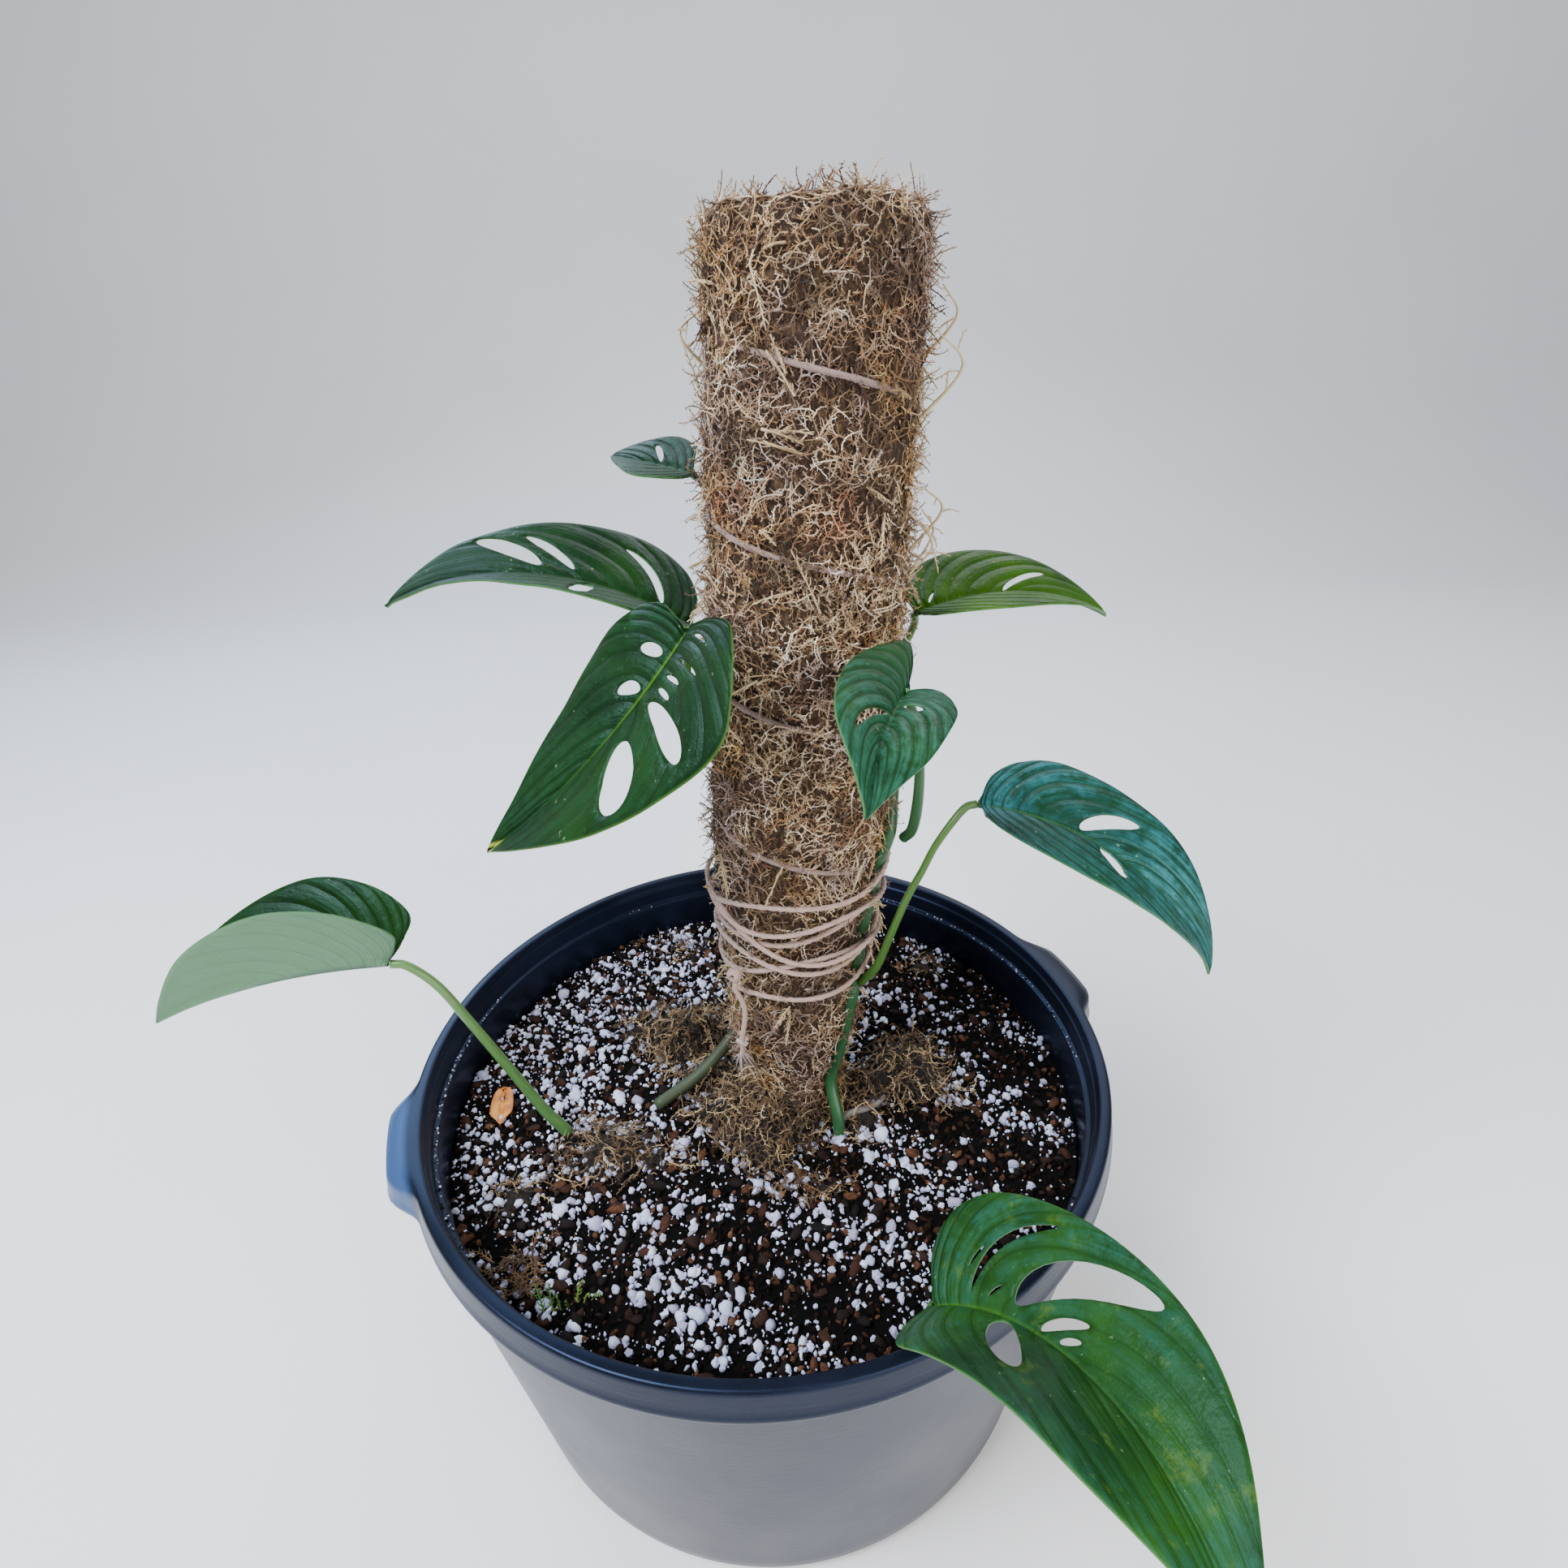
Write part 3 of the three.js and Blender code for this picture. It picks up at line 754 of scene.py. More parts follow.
@dataclass(frozen=True)
class Blade:
    """A leaf's waxy skin: midrib, side veins with painted shade in their creases, a painted blue-green sheen
    on the panels between them, and a paler underside.
    """

    name: str
    deep: tuple = linear(9, 32, 2)
    # panel: the blue-green of the painted sheen on the panels between veins
    panel: tuple = linear(15, 54, 25)
    fresh: tuple = linear(20, 54, 1)
    rib: tuple = linear(58, 104, 22)
    under: tuple = linear(84, 124, 76)
    gloss: tuple = linear(150, 196, 196)
    wax: float = 0.3
    veins: float = 13.0
    blotch: float = 0.0
    tip_brown: bool = False

    def material(self) -> bpy.types.Material:
        """Writes the material.

        Returns:
            The material.
        """
        s = Surface(self.name)
        uv = s.node("ShaderNodeUVMap").outputs[0]
        split = s.node("ShaderNodeSeparateXYZ", {0: uv}).outputs
        t, across = split[0], s.math("ABSOLUTE", s.math("SUBTRACT", split[1], 0.5))
        wander = s.times(s.math("SUBTRACT", s.noise(s.place, 34, 2), 0.5), 0.02)
        swept = s.times(s.math("POWER", s.times(across, 2.0), SWEEP_POWER), -SWEEP)
        swept = s.plus(t, swept)
        phase = s.math("FRACT", s.times(s.plus(swept, wander), self.veins))
        middle = s.math("ABSOLUTE", s.math("SUBTRACT", phase, 0.5))
        # 0 on a vein, 1 half way between two of them
        between = s.ramp(middle, [(0.0, 1.0), (0.3, 0.8), (0.45, 0.3), (0.5, 0.0)])
        towards_tip = s.ramp(t, [(0.7, 1.0), (0.95, 0.25)])
        # a line along each side vein: painted crease shade on the top face, the paler vein colour below
        vein_and_crease_shade = s.times(s.ramp(middle, [(0.43, 0.0), (0.485, 1.0)]), towards_tip)
        finer = s.math("FRACT", s.times(swept, self.veins * 4))
        small = s.math("ABSOLUTE", s.math("SUBTRACT", finer, 0.5))
        along_vein = s.node("ShaderNodeCombineXYZ", {"X": swept, "Y": split[1]}).outputs[0]
        streak = s.noise(s.stretched(along_vein, (self.veins * 4, 7, 1)), 1.0, 5, 0.65)
        cloud = s.noise(s.place, 60, 6, 0.65)
        combing = s.plus(s.times(cloud, 0.3), s.times(streak, 0.7))
        broad = s.ramp(s.noise(s.place, 17, 2), [(0.36, 0.15), (0.6, 1.0)])
        crinkle = s.noise(s.place, 210, 4, 0.6)
        combing = s.plus(combing, s.times(s.math("SUBTRACT", crinkle, 0.5), 0.5))
        flecks = s.ramp(combing, [(0.4, 0.05), (0.6, 1.0)])
        sheen = s.times(s.times(between, broad), flecks)
        colour = s.mix(s.patches(26, 4, 0.4, 0.7), self.deep, self.fresh)
        # painted sheen: the panel blue-green painted in flecks and streaks between the veins
        colour = s.tinted(colour, sheen, 0.8, self.panel)
        # painted shade: the creases along the side veins are darkened on the top face
        colour = s.tinted(colour, vein_and_crease_shade, 0.35, self.deep)
        near_base = s.ramp(t, [(0.3, 1.0), (0.85, 0.25)])
        rib = s.ramp(across, [(0.004, 1.0), (0.013, 0.0)])
        colour = s.mix(s.times(rib, s.times(near_base, 0.9)), colour, self.rib)
        rim = s.ramp(across, [(0.4935, 0.0), (0.4995, 1.0)])
        colour = s.tinted(colour, rim, 0.4, self.rib)
        if self.blotch:
            spot = s.patches(70, 6, 0.56, 0.68, 0.75)
            colour = s.tinted(colour, spot, self.blotch, linear(104, 124, 24))
        if self.tip_brown:
            ragged = s.plus(t, s.times(s.math("SUBTRACT", cloud, 0.5), 0.02))
            colour = s.mix(s.ramp(ragged, [(0.966, 0.0), (0.978, 1.0)]), colour, linear(170, 180, 70))
            colour = s.mix(s.ramp(ragged, [(0.98, 0.0), (0.988, 1.0)]), colour, linear(44, 30, 20))
        marks = s.patches(420, 2, 0.72, 0.76)
        colour = s.tinted(colour, marks, 0.35, linear(150, 170, 120))
        below = s.mix(s.times(vein_and_crease_shade, 0.5), self.under, s.mix(0.5, self.under, self.rib))
        colour = s.mix(s.attribute("under"), colour, below)
        pores = s.noise(s.place, 900, 4, 0.6)
        rough = s.math("MULTIPLY_ADD", cloud, 0.4, 0.2)
        quilted = s.times(s.times(between, towards_tip), 0.6)
        height = quilted
        for part, share in ((pores, 0.12), (crinkle, 0.45), (s.plus(streak, cloud), 0.4), (small, 0.07)):
            height = s.plus(height, s.times(part, share))
        wax = {"Specular_IOR_Level": self.wax, "Specular_Tint": self.gloss}
        return s.finish(height, 0.0011, 0.8, Base_Color=colour, Roughness=rough, **wax)


@dataclass(frozen=True)
class Paper:
    """A dry, brown, translucent scale leaf."""

    def material(self) -> bpy.types.Material:
        """Writes the material.

        Returns:
            The material.
        """
        s = Surface("dry_scale")
        cloud = s.noise(s.place, 130, 5, 0.6)
        stops = [(0.3, linear(120, 62, 16)), (0.5, linear(186, 112, 36)), (0.72, linear(216, 160, 62))]
        colour = s.ramp(cloud, stops)
        return s.finish(cloud, 0.0006, 0.7, Base_Color=colour, Roughness=0.45)


@dataclass(frozen=True)
class Coir:
    """The pole's own coarse fibre."""

    def material(self) -> bpy.types.Material:
        """Writes the material.

        Returns:
            The material.
        """
        s = Surface("core_fibre")
        fibre = s.noise(s.stretched(s.place, (1, 1, 0.12)), 600, 6, 0.7)
        stops = [(0.35, linear(96, 66, 44)), (0.55, linear(160, 120, 88)), (0.75, linear(206, 172, 140))]
        colour = s.ramp(fibre, stops)
        return s.finish(fibre, 0.001, 0.8, Base_Color=colour, Roughness=0.9)


@dataclass(frozen=True)
class Paint:
    """The pale floor and backdrop."""

    def material(self) -> bpy.types.Material:
        """Writes the material.

        Returns:
            The material.
        """
        s = Surface("pale_floor")
        cloud = s.noise(s.place, 3, 3)
        colour = s.mix(cloud, linear(240, 240, 240), linear(248, 248, 248))
        return s.finish(None, Base_Color=colour, Roughness=0.9, Specular_IOR_Level=0.1)


# ---------------------------------------------------------------- scattering


class Placing(Enum):
    """How a scattered piece sits on its surface."""

    LYING = "lying"
    TUMBLED = "tumbled"


@dataclass
class Scatter:
    """Copies of a few small shapes strewn over a surface with Geometry Nodes."""

    name: str
    shapes: Sequence[Shape]
    density: float
    seed: int
    smallest: float = 0.6
    largest: float = 1.3
    lift: float = 0.0
    tilt: float = 0.5
    placing: Placing = Placing.LYING
    smooth: bool = True

    def tree(self, library: bpy.types.Collection, material: bpy.types.Material) -> bpy.types.NodeTree:
        """Writes the node tree.

        Args:
            library: the collection that holds the shapes.
            material: the material of every copy.

        Returns:
            The tree, with its sizes as named inputs.
        """
        tree = bpy.data.node_groups.new(self.name, "GeometryNodeTree")
        face = tree.interface
        face.new_socket("Geometry", in_out="INPUT", socket_type="NodeSocketGeometry")
        for label in ("Density", "Smallest", "Largest", "Lift", "Tilt"):
            face.new_socket(label, in_out="INPUT", socket_type="NodeSocketFloat")
        face.new_socket("Seed", in_out="INPUT", socket_type="NodeSocketInt")
        face.new_socket("Geometry", in_out="OUTPUT", socket_type="NodeSocketGeometry")
        g = Graph(tree)
        given = g.node("NodeGroupInput").outputs
        thick = g.node("GeometryNodeInputNamedAttribute", {"Name": "cover"}, data_type="FLOAT").outputs[0]
        spread = {
            "Mesh": given["Geometry"],
            "Density": g.times(given["Density"], thick),
            "Seed": given["Seed"],
        }
        dots = g.node("GeometryNodeDistributePointsOnFaces", spread)
        normal = dots.outputs["Normal"]
        up = g.node("FunctionNodeAlignRotationToVector", {"Vector": normal}, axis="Z").outputs[0]
        low, high = (0.0, 0.0, 0.0), (0.0, 0.0, 2 * math.pi)
        if self.placing is Placing.TUMBLED:
            high = (2 * math.pi, 2 * math.pi, 2 * math.pi)
        spin = self.chance(g, "FLOAT_VECTOR", low, high, given["Seed"]).outputs[0]
        turned = self.rotated(g, up, spin)
        if self.placing is Placing.LYING:
            more = g.plus(given["Seed"], 7.0)
            lean = self.chance(g, "FLOAT", 0.0, 1.0, more).outputs[1]
            amount = g.times(g.math("SUBTRACT", lean, 0.25), given["Tilt"])
            back = g.node("ShaderNodeCombineXYZ", {"Y": g.times(amount, -1.0)}).outputs[0]
            turned = self.rotated(g, turned, back)
        picked = {"Collection": library, "Separate Children": True, "Reset Children": True}
        source = g.node("GeometryNodeCollectionInfo", picked)
        later = g.plus(given["Seed"], 3.0)
        size = self.chance(g, "FLOAT", given["Smallest"], given["Largest"], later).outputs[1]
        climb = {0: normal, "Scale": given["Lift"]}
        offset = g.node("ShaderNodeVectorMath", climb, operation="SCALE").outputs[0]
        moved = {"Geometry": dots.outputs["Points"], "Offset": offset}
        raised = g.node("GeometryNodeSetPosition", moved).outputs[0]
        laid = {
            "Points": raised,
            "Instance": source.outputs[0],
            "Pick Instance": True,
            "Rotation": turned,
            "Scale": size,
        }
        copies = g.node("GeometryNodeInstanceOnPoints", laid).outputs[0]
        tint = self.chance(g, "FLOAT", 0.0, 1.0, g.plus(given["Seed"], 11.0)).outputs[1]
        marked = g.node(
            "GeometryNodeStoreNamedAttribute",
            {"Geometry": copies, "Name": "tint", "Value": tint},
            data_type="FLOAT",
            domain="INSTANCE",
        ).outputs[0]
        real = g.node("GeometryNodeRealizeInstances", {0: marked}).outputs[0]
        dressed = g.node("GeometryNodeSetMaterial", {"Geometry": real, "Material": material}).outputs[0]
        g.node("NodeGroupOutput", {0: dressed})
        return tree

    @staticmethod
    def chance(g: Graph, kind: str, low: Any, high: Any, seed: Any) -> bpy.types.Node:
        """A Random Value node between two limits."""
        first = {"FLOAT": 2, "FLOAT_VECTOR": 0}[kind]
        return g.node("FunctionNodeRandomValue", {first: low, first + 1: high, "Seed": seed}, data_type=kind)

    @staticmethod
    def rotated(g: Graph, first: bpy.types.NodeSocket, euler: Any) -> bpy.types.NodeSocket:
        """A rotation turned further, about its own axes, by three angles."""
        more = g.node("FunctionNodeEulerToRotation", {0: euler}).outputs[0]
        return g.node("FunctionNodeRotateRotation", {0: first, 1: more}, rotation_space="LOCAL").outputs[0]

    def lay(self, sheet: Shape, cover: Array, finish: Grain, slot: str, node: str) -> None:
        """Strews the shapes over a sheet and finishes them as one plain piece.

        Args:
            sheet: the surface to cover, which isn't kept itself.
            cover: how thickly each of its points is strewn.
            finish: the copies' finish.
            slot: the record's material slot.
            node: the CAD node that the piece stands for.
        """
        material = finish.material()
        sheet.marks["cover"] = cover
        surface = sheet.build(self.name + "_ground")
        library = bpy.data.collections.new(self.name + "_shapes")
        kept = [shape.build(f"{self.name}_shape_{k}", self.smooth) for k, shape in enumerate(self.shapes)]
        for item in kept:
            bpy.context.scene.collection.objects.unlink(item)
            library.objects.link(item)
        modifier = surface.modifiers.new(self.name, "NODES")
        modifier.node_group = self.tree(library, material)
        values = {
            "Density": self.density,
            "Smallest": self.smallest,
            "Largest": self.largest,
            "Lift": self.lift * MM,
            "Tilt": self.tilt,
            "Seed": self.seed,
        }
        for item in modifier.node_group.interface.items_tree:
            if item.in_out == "INPUT" and item.name in values:
                modifier[item.identifier] = values[item.name]
        piece = plain_copy(surface, self.name, material)
        for item in kept:
            bpy.data.objects.remove(item)
        bpy.data.collections.remove(library)
        settle(piece, slot, material, node)


def spikes(feet: Array, tips: Array, width: float) -> Shape:
    """Thin closed spikes, four faces each, from their feet to their tips.

    Args:
        feet: where they start.
        tips: where they end.
        width: how far their feet's corners are from the middle.

    Returns:
        All of them as one shape.
    """
    ahead = tips - feet
    side = np.cross(ahead, (0.31, 0.17, 0.93))
    side /= np.linalg.norm(side, axis=1)[:, None] + 1e-9
    up = np.cross(ahead, side)
    up /= np.linalg.norm(up, axis=1)[:, None] + 1e-9
    thirds = (side, -0.5 * side + 0.87 * up, -0.5 * side - 0.87 * up)
    corners = [feet + width * third for third in thirds]
    points = np.stack([*corners, tips], 1).reshape(-1, 3)
    faces: list = []
    for k in range(len(feet)):
        a, b, c, d = range(4 * k, 4 * k + 4)
        faces += [(c, b, a), (a, b, d), (b, c, d), (c, a, d)]
    return Shape(points, faces)


def sprig(
    rng: np.random.Generator, length: float, radius: float, curl: float, leaflets: int, steps: int = 4
) -> Shape:
    """One feathery strand of moss that lies along +X.

    Args:
        rng: the source of chance.
        length: its length along the curl.
        radius: its thickness at the foot.
        curl: how far it turns, in radians.
        leaflets: short side hairs.
        steps: bends along it.

    Returns:
        The strand.
    """
    turn = np.cumsum(rng.normal(curl / steps, 0.3, steps))
    rise = np.cumsum(rng.normal(0.02, 0.2, steps))
    step = length / steps
    moves = np.stack([np.cos(turn) * np.cos(rise), np.sin(turn) * np.cos(rise), np.sin(rise)], -1) * step
    path = np.vstack([[0, 0, 0], np.cumsum(moves, axis=0)])
    shape = sweep(path, np.linspace(radius, radius * 0.3, len(path)), 3)
    share = (np.arange(leaflets) + 0.7) / (leaflets + 0.5)
    place = np.minimum((share * steps).astype(int), steps - 1)
    feet = path[place] + moves[place] * (share * steps - place)[:, None]
    ahead = moves[place] / step
    beside = np.cross(ahead, (0, 0, 1)) * np.where(np.arange(leaflets) % 2, 1, -1)[:, None]
    reach = length * 0.2 * (1.1 - 0.5 * share) * rng.uniform(0.6, 1.2, leaflets)
    away = 0.75 * beside + 0.55 * ahead + rng.normal(0, 0.28, (leaflets, 3))
    return shape.joined(spikes(feet, feet + away * reach[:, None], radius * 0.8))


def sprigs(seed: int, length: float = 15, radius: float = 0.5) -> list[Shape]:
    """A few different strands: fronds and curls.

    Args:
        seed: picks the set.
        length: their middling length.
        radius: their thickness at the foot.

    Returns:
        Eight strands.
    """
    rng = np.random.default_rng(seed)
    kinds = [(1.4, 8), (0.6, 9), (-1.2, 8), (2.6, 6), (0.2, 9), (-2.2, 7), (1.9, 8), (-0.5, 9)]
    return [sprig(rng, length * rng.uniform(0.75, 1.25), radius, curl, hairs) for curl, hairs in kinds]


def pebble(seed: int, detail: int, flat: float = 1.0, rough: float = 0.22) -> Shape:
    """A lumpy grain about one millimetre in radius.

    Args:
        seed: picks the lump.
        detail: 1 for 20 faces, 2 for 80.
        flat: its height as a share of its width.
        rough: how uneven it is.

    Returns:
        The grain.
    """
    bm = bmesh.new()
    bmesh.ops.create_icosphere(bm, subdivisions=detail, radius=1.0)
    points = np.array([v.co for v in bm.verts])
    faces = [tuple(v.index for v in f.verts) for f in bm.faces]
    bm.free()
    points = points * (1 + rough * ripple(points, 0.45, seed))[:, None]
    draw = np.random.default_rng(seed).uniform(0.7, 1.15, 3)
    return Shape(points * draw * (draw + 0.05) * (1, 1, flat), faces)


# ---------------------------------------------------------------- the pole's measures

MOSS = (
    (0, 27), (195, 27), (200, 29), (220, 33), (260, 34), (290, 35),
    (305, 38.5), (330, 39.7), (400, 40), (600, 40),
)
POLE_TOP = 570
SOIL_TOP = 164


def pole_x(z: Any) -> Any:
    """Where the leaning pole's middle is at a height."""
    return 7 + 0.05 * z


def moss_radius(z: Any) -> Any:
    """Radius of the moss at a height."""
    return np.interp(z, [p[0] for p in MOSS], [p[1] for p in MOSS])


def on_pole(angle: float, z: float, out: float) -> Point:
    """A point `out` beyond the moss, at an angle where -90 is the front."""
    reach = moss_radius(z) + out
    return (pole_x(z) + reach * math.cos(math.radians(angle)), reach * math.sin(math.radians(angle)), z)


STEM_LINE = ((-42, 210), (-38, 235), (-30, 255), (-26, 280), (-22, 300), (-19, 315), (-14, 330))


def turns(from_angle: float, to_angle: float, from_z: float, to_z: float, out: float) -> list[Point]:
    """Points of a cord wound round the pole, one for each 18 degrees.

    Args:
        from_angle: the first point's angle, where -90 is the front.
        to_angle: the last point's angle.
        from_z: the first point's height.
        to_z: the last point's height.
        out: how far it lies beyond the moss.

    Returns:
        The points.
    """
    count = round(abs(to_angle - from_angle) / 18)
    return [
        on_pole(from_angle + (to_angle - from_angle) * k / count, from_z + (to_z - from_z) * k / count, out)
        for k in range(count + 1)
    ]


# ---------------------------------------------------------------- pot and soil


@dataclass
class Pot:
    """The wide low pot with a stepped lip and two grips."""

    grips: tuple[float, float] = (15.5, 198.5)
    grip_reach: float = 10.5
    grip_half_angle: float = 12.5
    segments: int = 288
    plastic: MouldedPlastic = MouldedPlastic()

    def profile(self) -> list[tuple[float, float]]:
        """Radius and height from the base's middle, up the outside and down the inside.

        Returns:
            The profile's points.
        """
        outside = [(0, 0), (120, 0), (137.5, 0), (141, 0.6), (143.5, 2), (146, 4.5), (148.6, 8), (149.6, 14)]
        outside += [(173 - (182 - z) * 0.14, z) for z in np.linspace(20, 176, 18)]
        outside += [(172.6, 179), (172.95, 181.4), (173.4, 182), (175.4, 182.2), (176.3, 183), (176.9, 184.4)]
        outside += [(177, 185.8), (176.7, 186.8), (176.35, 188), (176, 191), (175.6, 194.6), (175.3, 197.4)]
        outside += [(175.1, 198.9), (174.4, 199.8), (173.6, 200)]
        inside = [(171, 200), (170.2, 199.9), (169.7, 199.5), (169.45, 198.6), (168.9, 195.4), (168.5, 194.7)]
        inside += [(167.9, 194.4), (167.7, 193.6), (167.35, 187), (167.1, 186), (166.4, 185.6)]
        inside += [(165.2, 185.4), (164.7, 185), (164.5, 184)]
        heights = np.arange(182, 165, -2.0)
        ribs = [(164.4 - (184 - z) * 0.03 - (0.35 if k % 2 else 0), z) for k, z in enumerate(heights)]
        below = [(163.8 - (164 - z) * 0.111, z) for z in np.linspace(163, 12, 8)]
        return outside + inside + ribs + below + [(141.5, 4), (139, 3), (120, 3), (0, 3)]

    def shape(self) -> Shape:
        """The turned body, pushed out into its grips.

        Returns:
            The pot.
        """
        body = revolve(self.profile(), self.segments)
        x, y, z = body.points.T
        reach = np.hypot(x, y)
        angle = np.degrees(np.arctan2(y, x))
        wall, collar, grip_foot, grip_brow = 172.4, 178, 179, 197.2
        outer = (reach > wall) & (z > collar)
        rise = np.clip((z - grip_foot) / 3.0, 0, 1)
        rise = rise * np.clip(1.0 - np.clip(z - grip_brow, 0, 3) / 2.8, 0, 1) ** 0.5
        push = np.zeros(len(z))
        for grip in self.grips:
            apart = np.abs((angle - grip + 180) % 360 - 180) / self.grip_half_angle
            plateau = 0.5 + 0.5 * np.cos(np.pi * np.clip((apart - 0.42) / 0.6, 0, 1))
            push += plateau * self.grip_reach * rise
        reach_out = np.where(outer, (reach + push) / np.maximum(reach, 1), 1.0)
        body.points[:, 0] *= reach_out
        body.points[:, 1] *= reach_out
        return body

    def build(self) -> None:
        """Makes the pot."""
        settle(self.shape().build("pot_shell"), "pot", self.plastic.material(), "nursery_pot")


@dataclass
class Soil:
    """Potting mix: an uneven dark surface with bark, crumbs and perlite."""

    radius: float = 163.2
    top: float = SOIL_TOP
    earth: Earth = Earth()

    def height(self, x: Array, y: Array) -> Array:
        """Height of the surface.

        Args:
            x: places across.
            y: places deep.

        Returns:
            The height at each place.
        """
        flat = np.stack([x, y, np.zeros_like(x)], -1).reshape(-1, 3)
        bumps = 2.0 * ripple(flat, 0.012, 3) + 1.0 * ripple(flat, 0.07, 4) + 0.4 * ripple(flat, 0.25, 5)
        return self.top - 0.8 + bumps.reshape(x.shape)

    def disc(self, rings: int, segments: int, edge: float) -> Shape:
        """The open top surface as a sheet, denser towards its rim.

        Args:
            rings: rings of points.
            segments: points in each ring.
            edge: its radius.

        Returns:
            The sheet, facing up.
        """
        reach = edge * np.sqrt(np.linspace(0, 1, rings + 1)[1:])
        angle = round_angles(segments)
        x, y = np.outer(reach, np.cos(angle)), np.outer(reach, np.sin(angle))
        points = np.stack([x, y, self.height(x, y)], -1).reshape(-1, 3)
        return mound(points, (0, 0, self.top), rings)

    def body(self) -> Shape:
        """The whole closed mass of soil.

        Returns:
            The mass.
        """
        rings, segments = 60, 240
        top = self.disc(rings, segments, self.radius)
        hub = len(top.points)
        first = (rings - 1) * segments
        radii = [(163.0, 158.0), (150.0, 40.0), (146.2, 12.0), (140.0, 4.0)]
        angle = round_angles(segments)
        skirt = [ring(radius, angle, height) for radius, height in radii]
        top.points = np.vstack([top.points, *skirt, [[0, 0, 4.0]]])
        levels = [first] + [hub + k * segments for k in range(len(radii))]
        for upper, lower in zip(levels, levels[1:]):
            for j in range(segments):
                n = (j + 1) % segments
                top.faces.append((upper + j, lower + j, lower + n, upper + n))
        base = len(top.points) - 1
        top.faces += [(base, levels[-1] + (j + 1) % segments, levels[-1] + j) for j in range(segments)]
        return top

    def build(self) -> None:
        """Makes the soil and everything loose on it."""
        settle(self.body().build("soil_mass"), "soil", self.earth.material(), "potting_soil")

        def even(x: Array, y: Array) -> Array:
            """Grains everywhere, in loose patches.

            Args:
                x: places across.
                y: places deep.

            Returns:
                How thickly each place is strewn.
            """
            flat = np.stack([x, y, np.zeros_like(x)], -1)
            sparse = np.clip((x + 0.5 * y - 40) / 120, 0, 0.5)
            lush = 0.45 * np.exp(-(((x + 100) / 60) ** 2 + ((y - 50) / 70) ** 2))
            return np.clip(0.85 + lush + 0.9 * ripple(flat, 0.02, 8) - sparse, 0.15, 1.9)

        def rim(x: Array, y: Array) -> Array:
            """Evenly, but bare under the pole."""
            return np.where(np.hypot(x - 15, y) < 26, 0.0, 1.0)

        crumbs = [pebble(k, 1, 0.7, 0.45) for k in range(5)]
        chips = [self.chip(k) for k in range(7)]
        lumps = [pebble(20 + k, 2, 0.85, 0.6) for k in range(9)]
        beads = [pebble(40 + k, 1, 0.9, 0.5) for k in range(7)]
        tumbled = {"placing": Placing.TUMBLED}
        broken = {"placing": Placing.TUMBLED, "smooth": False}
        loose = [
            (Scatter("soil_crumbs", crumbs, 78000, 5, 0.7, 2.4, 0.4, **broken), CRUMB, rim),
            (Scatter("bark_chips", chips, 6500, 6, 0.9, 4.0, 0.8, 0.9), BARK, rim),
            (Scatter("perlite_large", lumps, 6500, 9, 1.4, 3.3, 1.0, **tumbled), PERLITE, even),
            (Scatter("perlite_middling", beads, 36000, 12, 0.9, 2.1, 0.8, **broken), PERLITE, even),
            (Scatter("perlite_small", beads, 80000, 10, 0.3, 0.9, 0.7, **broken), PERLITE, even),
        ]
        for item, finish, dense in loose:
            ground = self.disc(40, 160, 162.5)
            x, y, _ = ground.points.T
            item.lay(ground, dense(x, y) * rim(x, y), finish, "soil", "potting_soil")
        self.ledge(beads, crumbs)

    def ledge(self, beads: list[Shape], crumbs: list[Shape]) -> None:
        """Crumbs and perlite caught on the step inside the pot's lip.

        Args:
            beads: the shapes of the perlite.
            crumbs: the shapes of the crumbs.
        """
        segments, inner, outer, height = 240, 164.9, 166.6, 185.5
        angle = np.linspace(0, 2 * np.pi, segments + 1)[:-1]
        points = np.vstack([ring(radius, angle, height) for radius in (inner, outer)])
        faces = between_rings(2, segments, outwards=False)
        patches = np.clip(0.4 + 1.6 * ripple(points, 0.01, 19), 0, 2)
        kinds = (("ledge_perlite", beads, PERLITE, 220000), ("ledge_crumbs", crumbs, CRUMB, 160000))
        for name, shapes, finish, count in kinds:
            item = Scatter(name, shapes, count, len(name), 0.25, 0.75, 0.2, placing=Placing.TUMBLED)
            item.lay(Shape(points, faces), patches, finish, "soil", "potting_soil")

    @staticmethod
    def chip(seed: int) -> Shape:
        """A flat broken chip of bark.

        Args:
            seed: picks the chip.

        Returns:
            The chip, about three millimetres long.
        """
        rng = np.random.default_rng(100 + seed)
        count = 6
        angle = np.linspace(0, 2 * np.pi, count, endpoint=False) + rng.uniform(-0.2, 0.2, count)
        reach = rng.uniform(0.6, 1.1, count)
        ring = np.stack([1.5 * reach * np.cos(angle), 0.8 * reach * np.sin(angle), np.zeros(count)], -1)
        top = ring * 0.86 + (0, 0, 0.35) + rng.normal(0, 0.05, (count, 3))
        low = ring * 0.9 - (0, 0, 0.3)
        points = np.vstack([low, ring, top])
        faces = [tuple(range(count))[::-1], tuple(range(2 * count, 3 * count))]
        return Shape(points, faces + between_rings(3, count))


# ---------------------------------------------------------------- moss


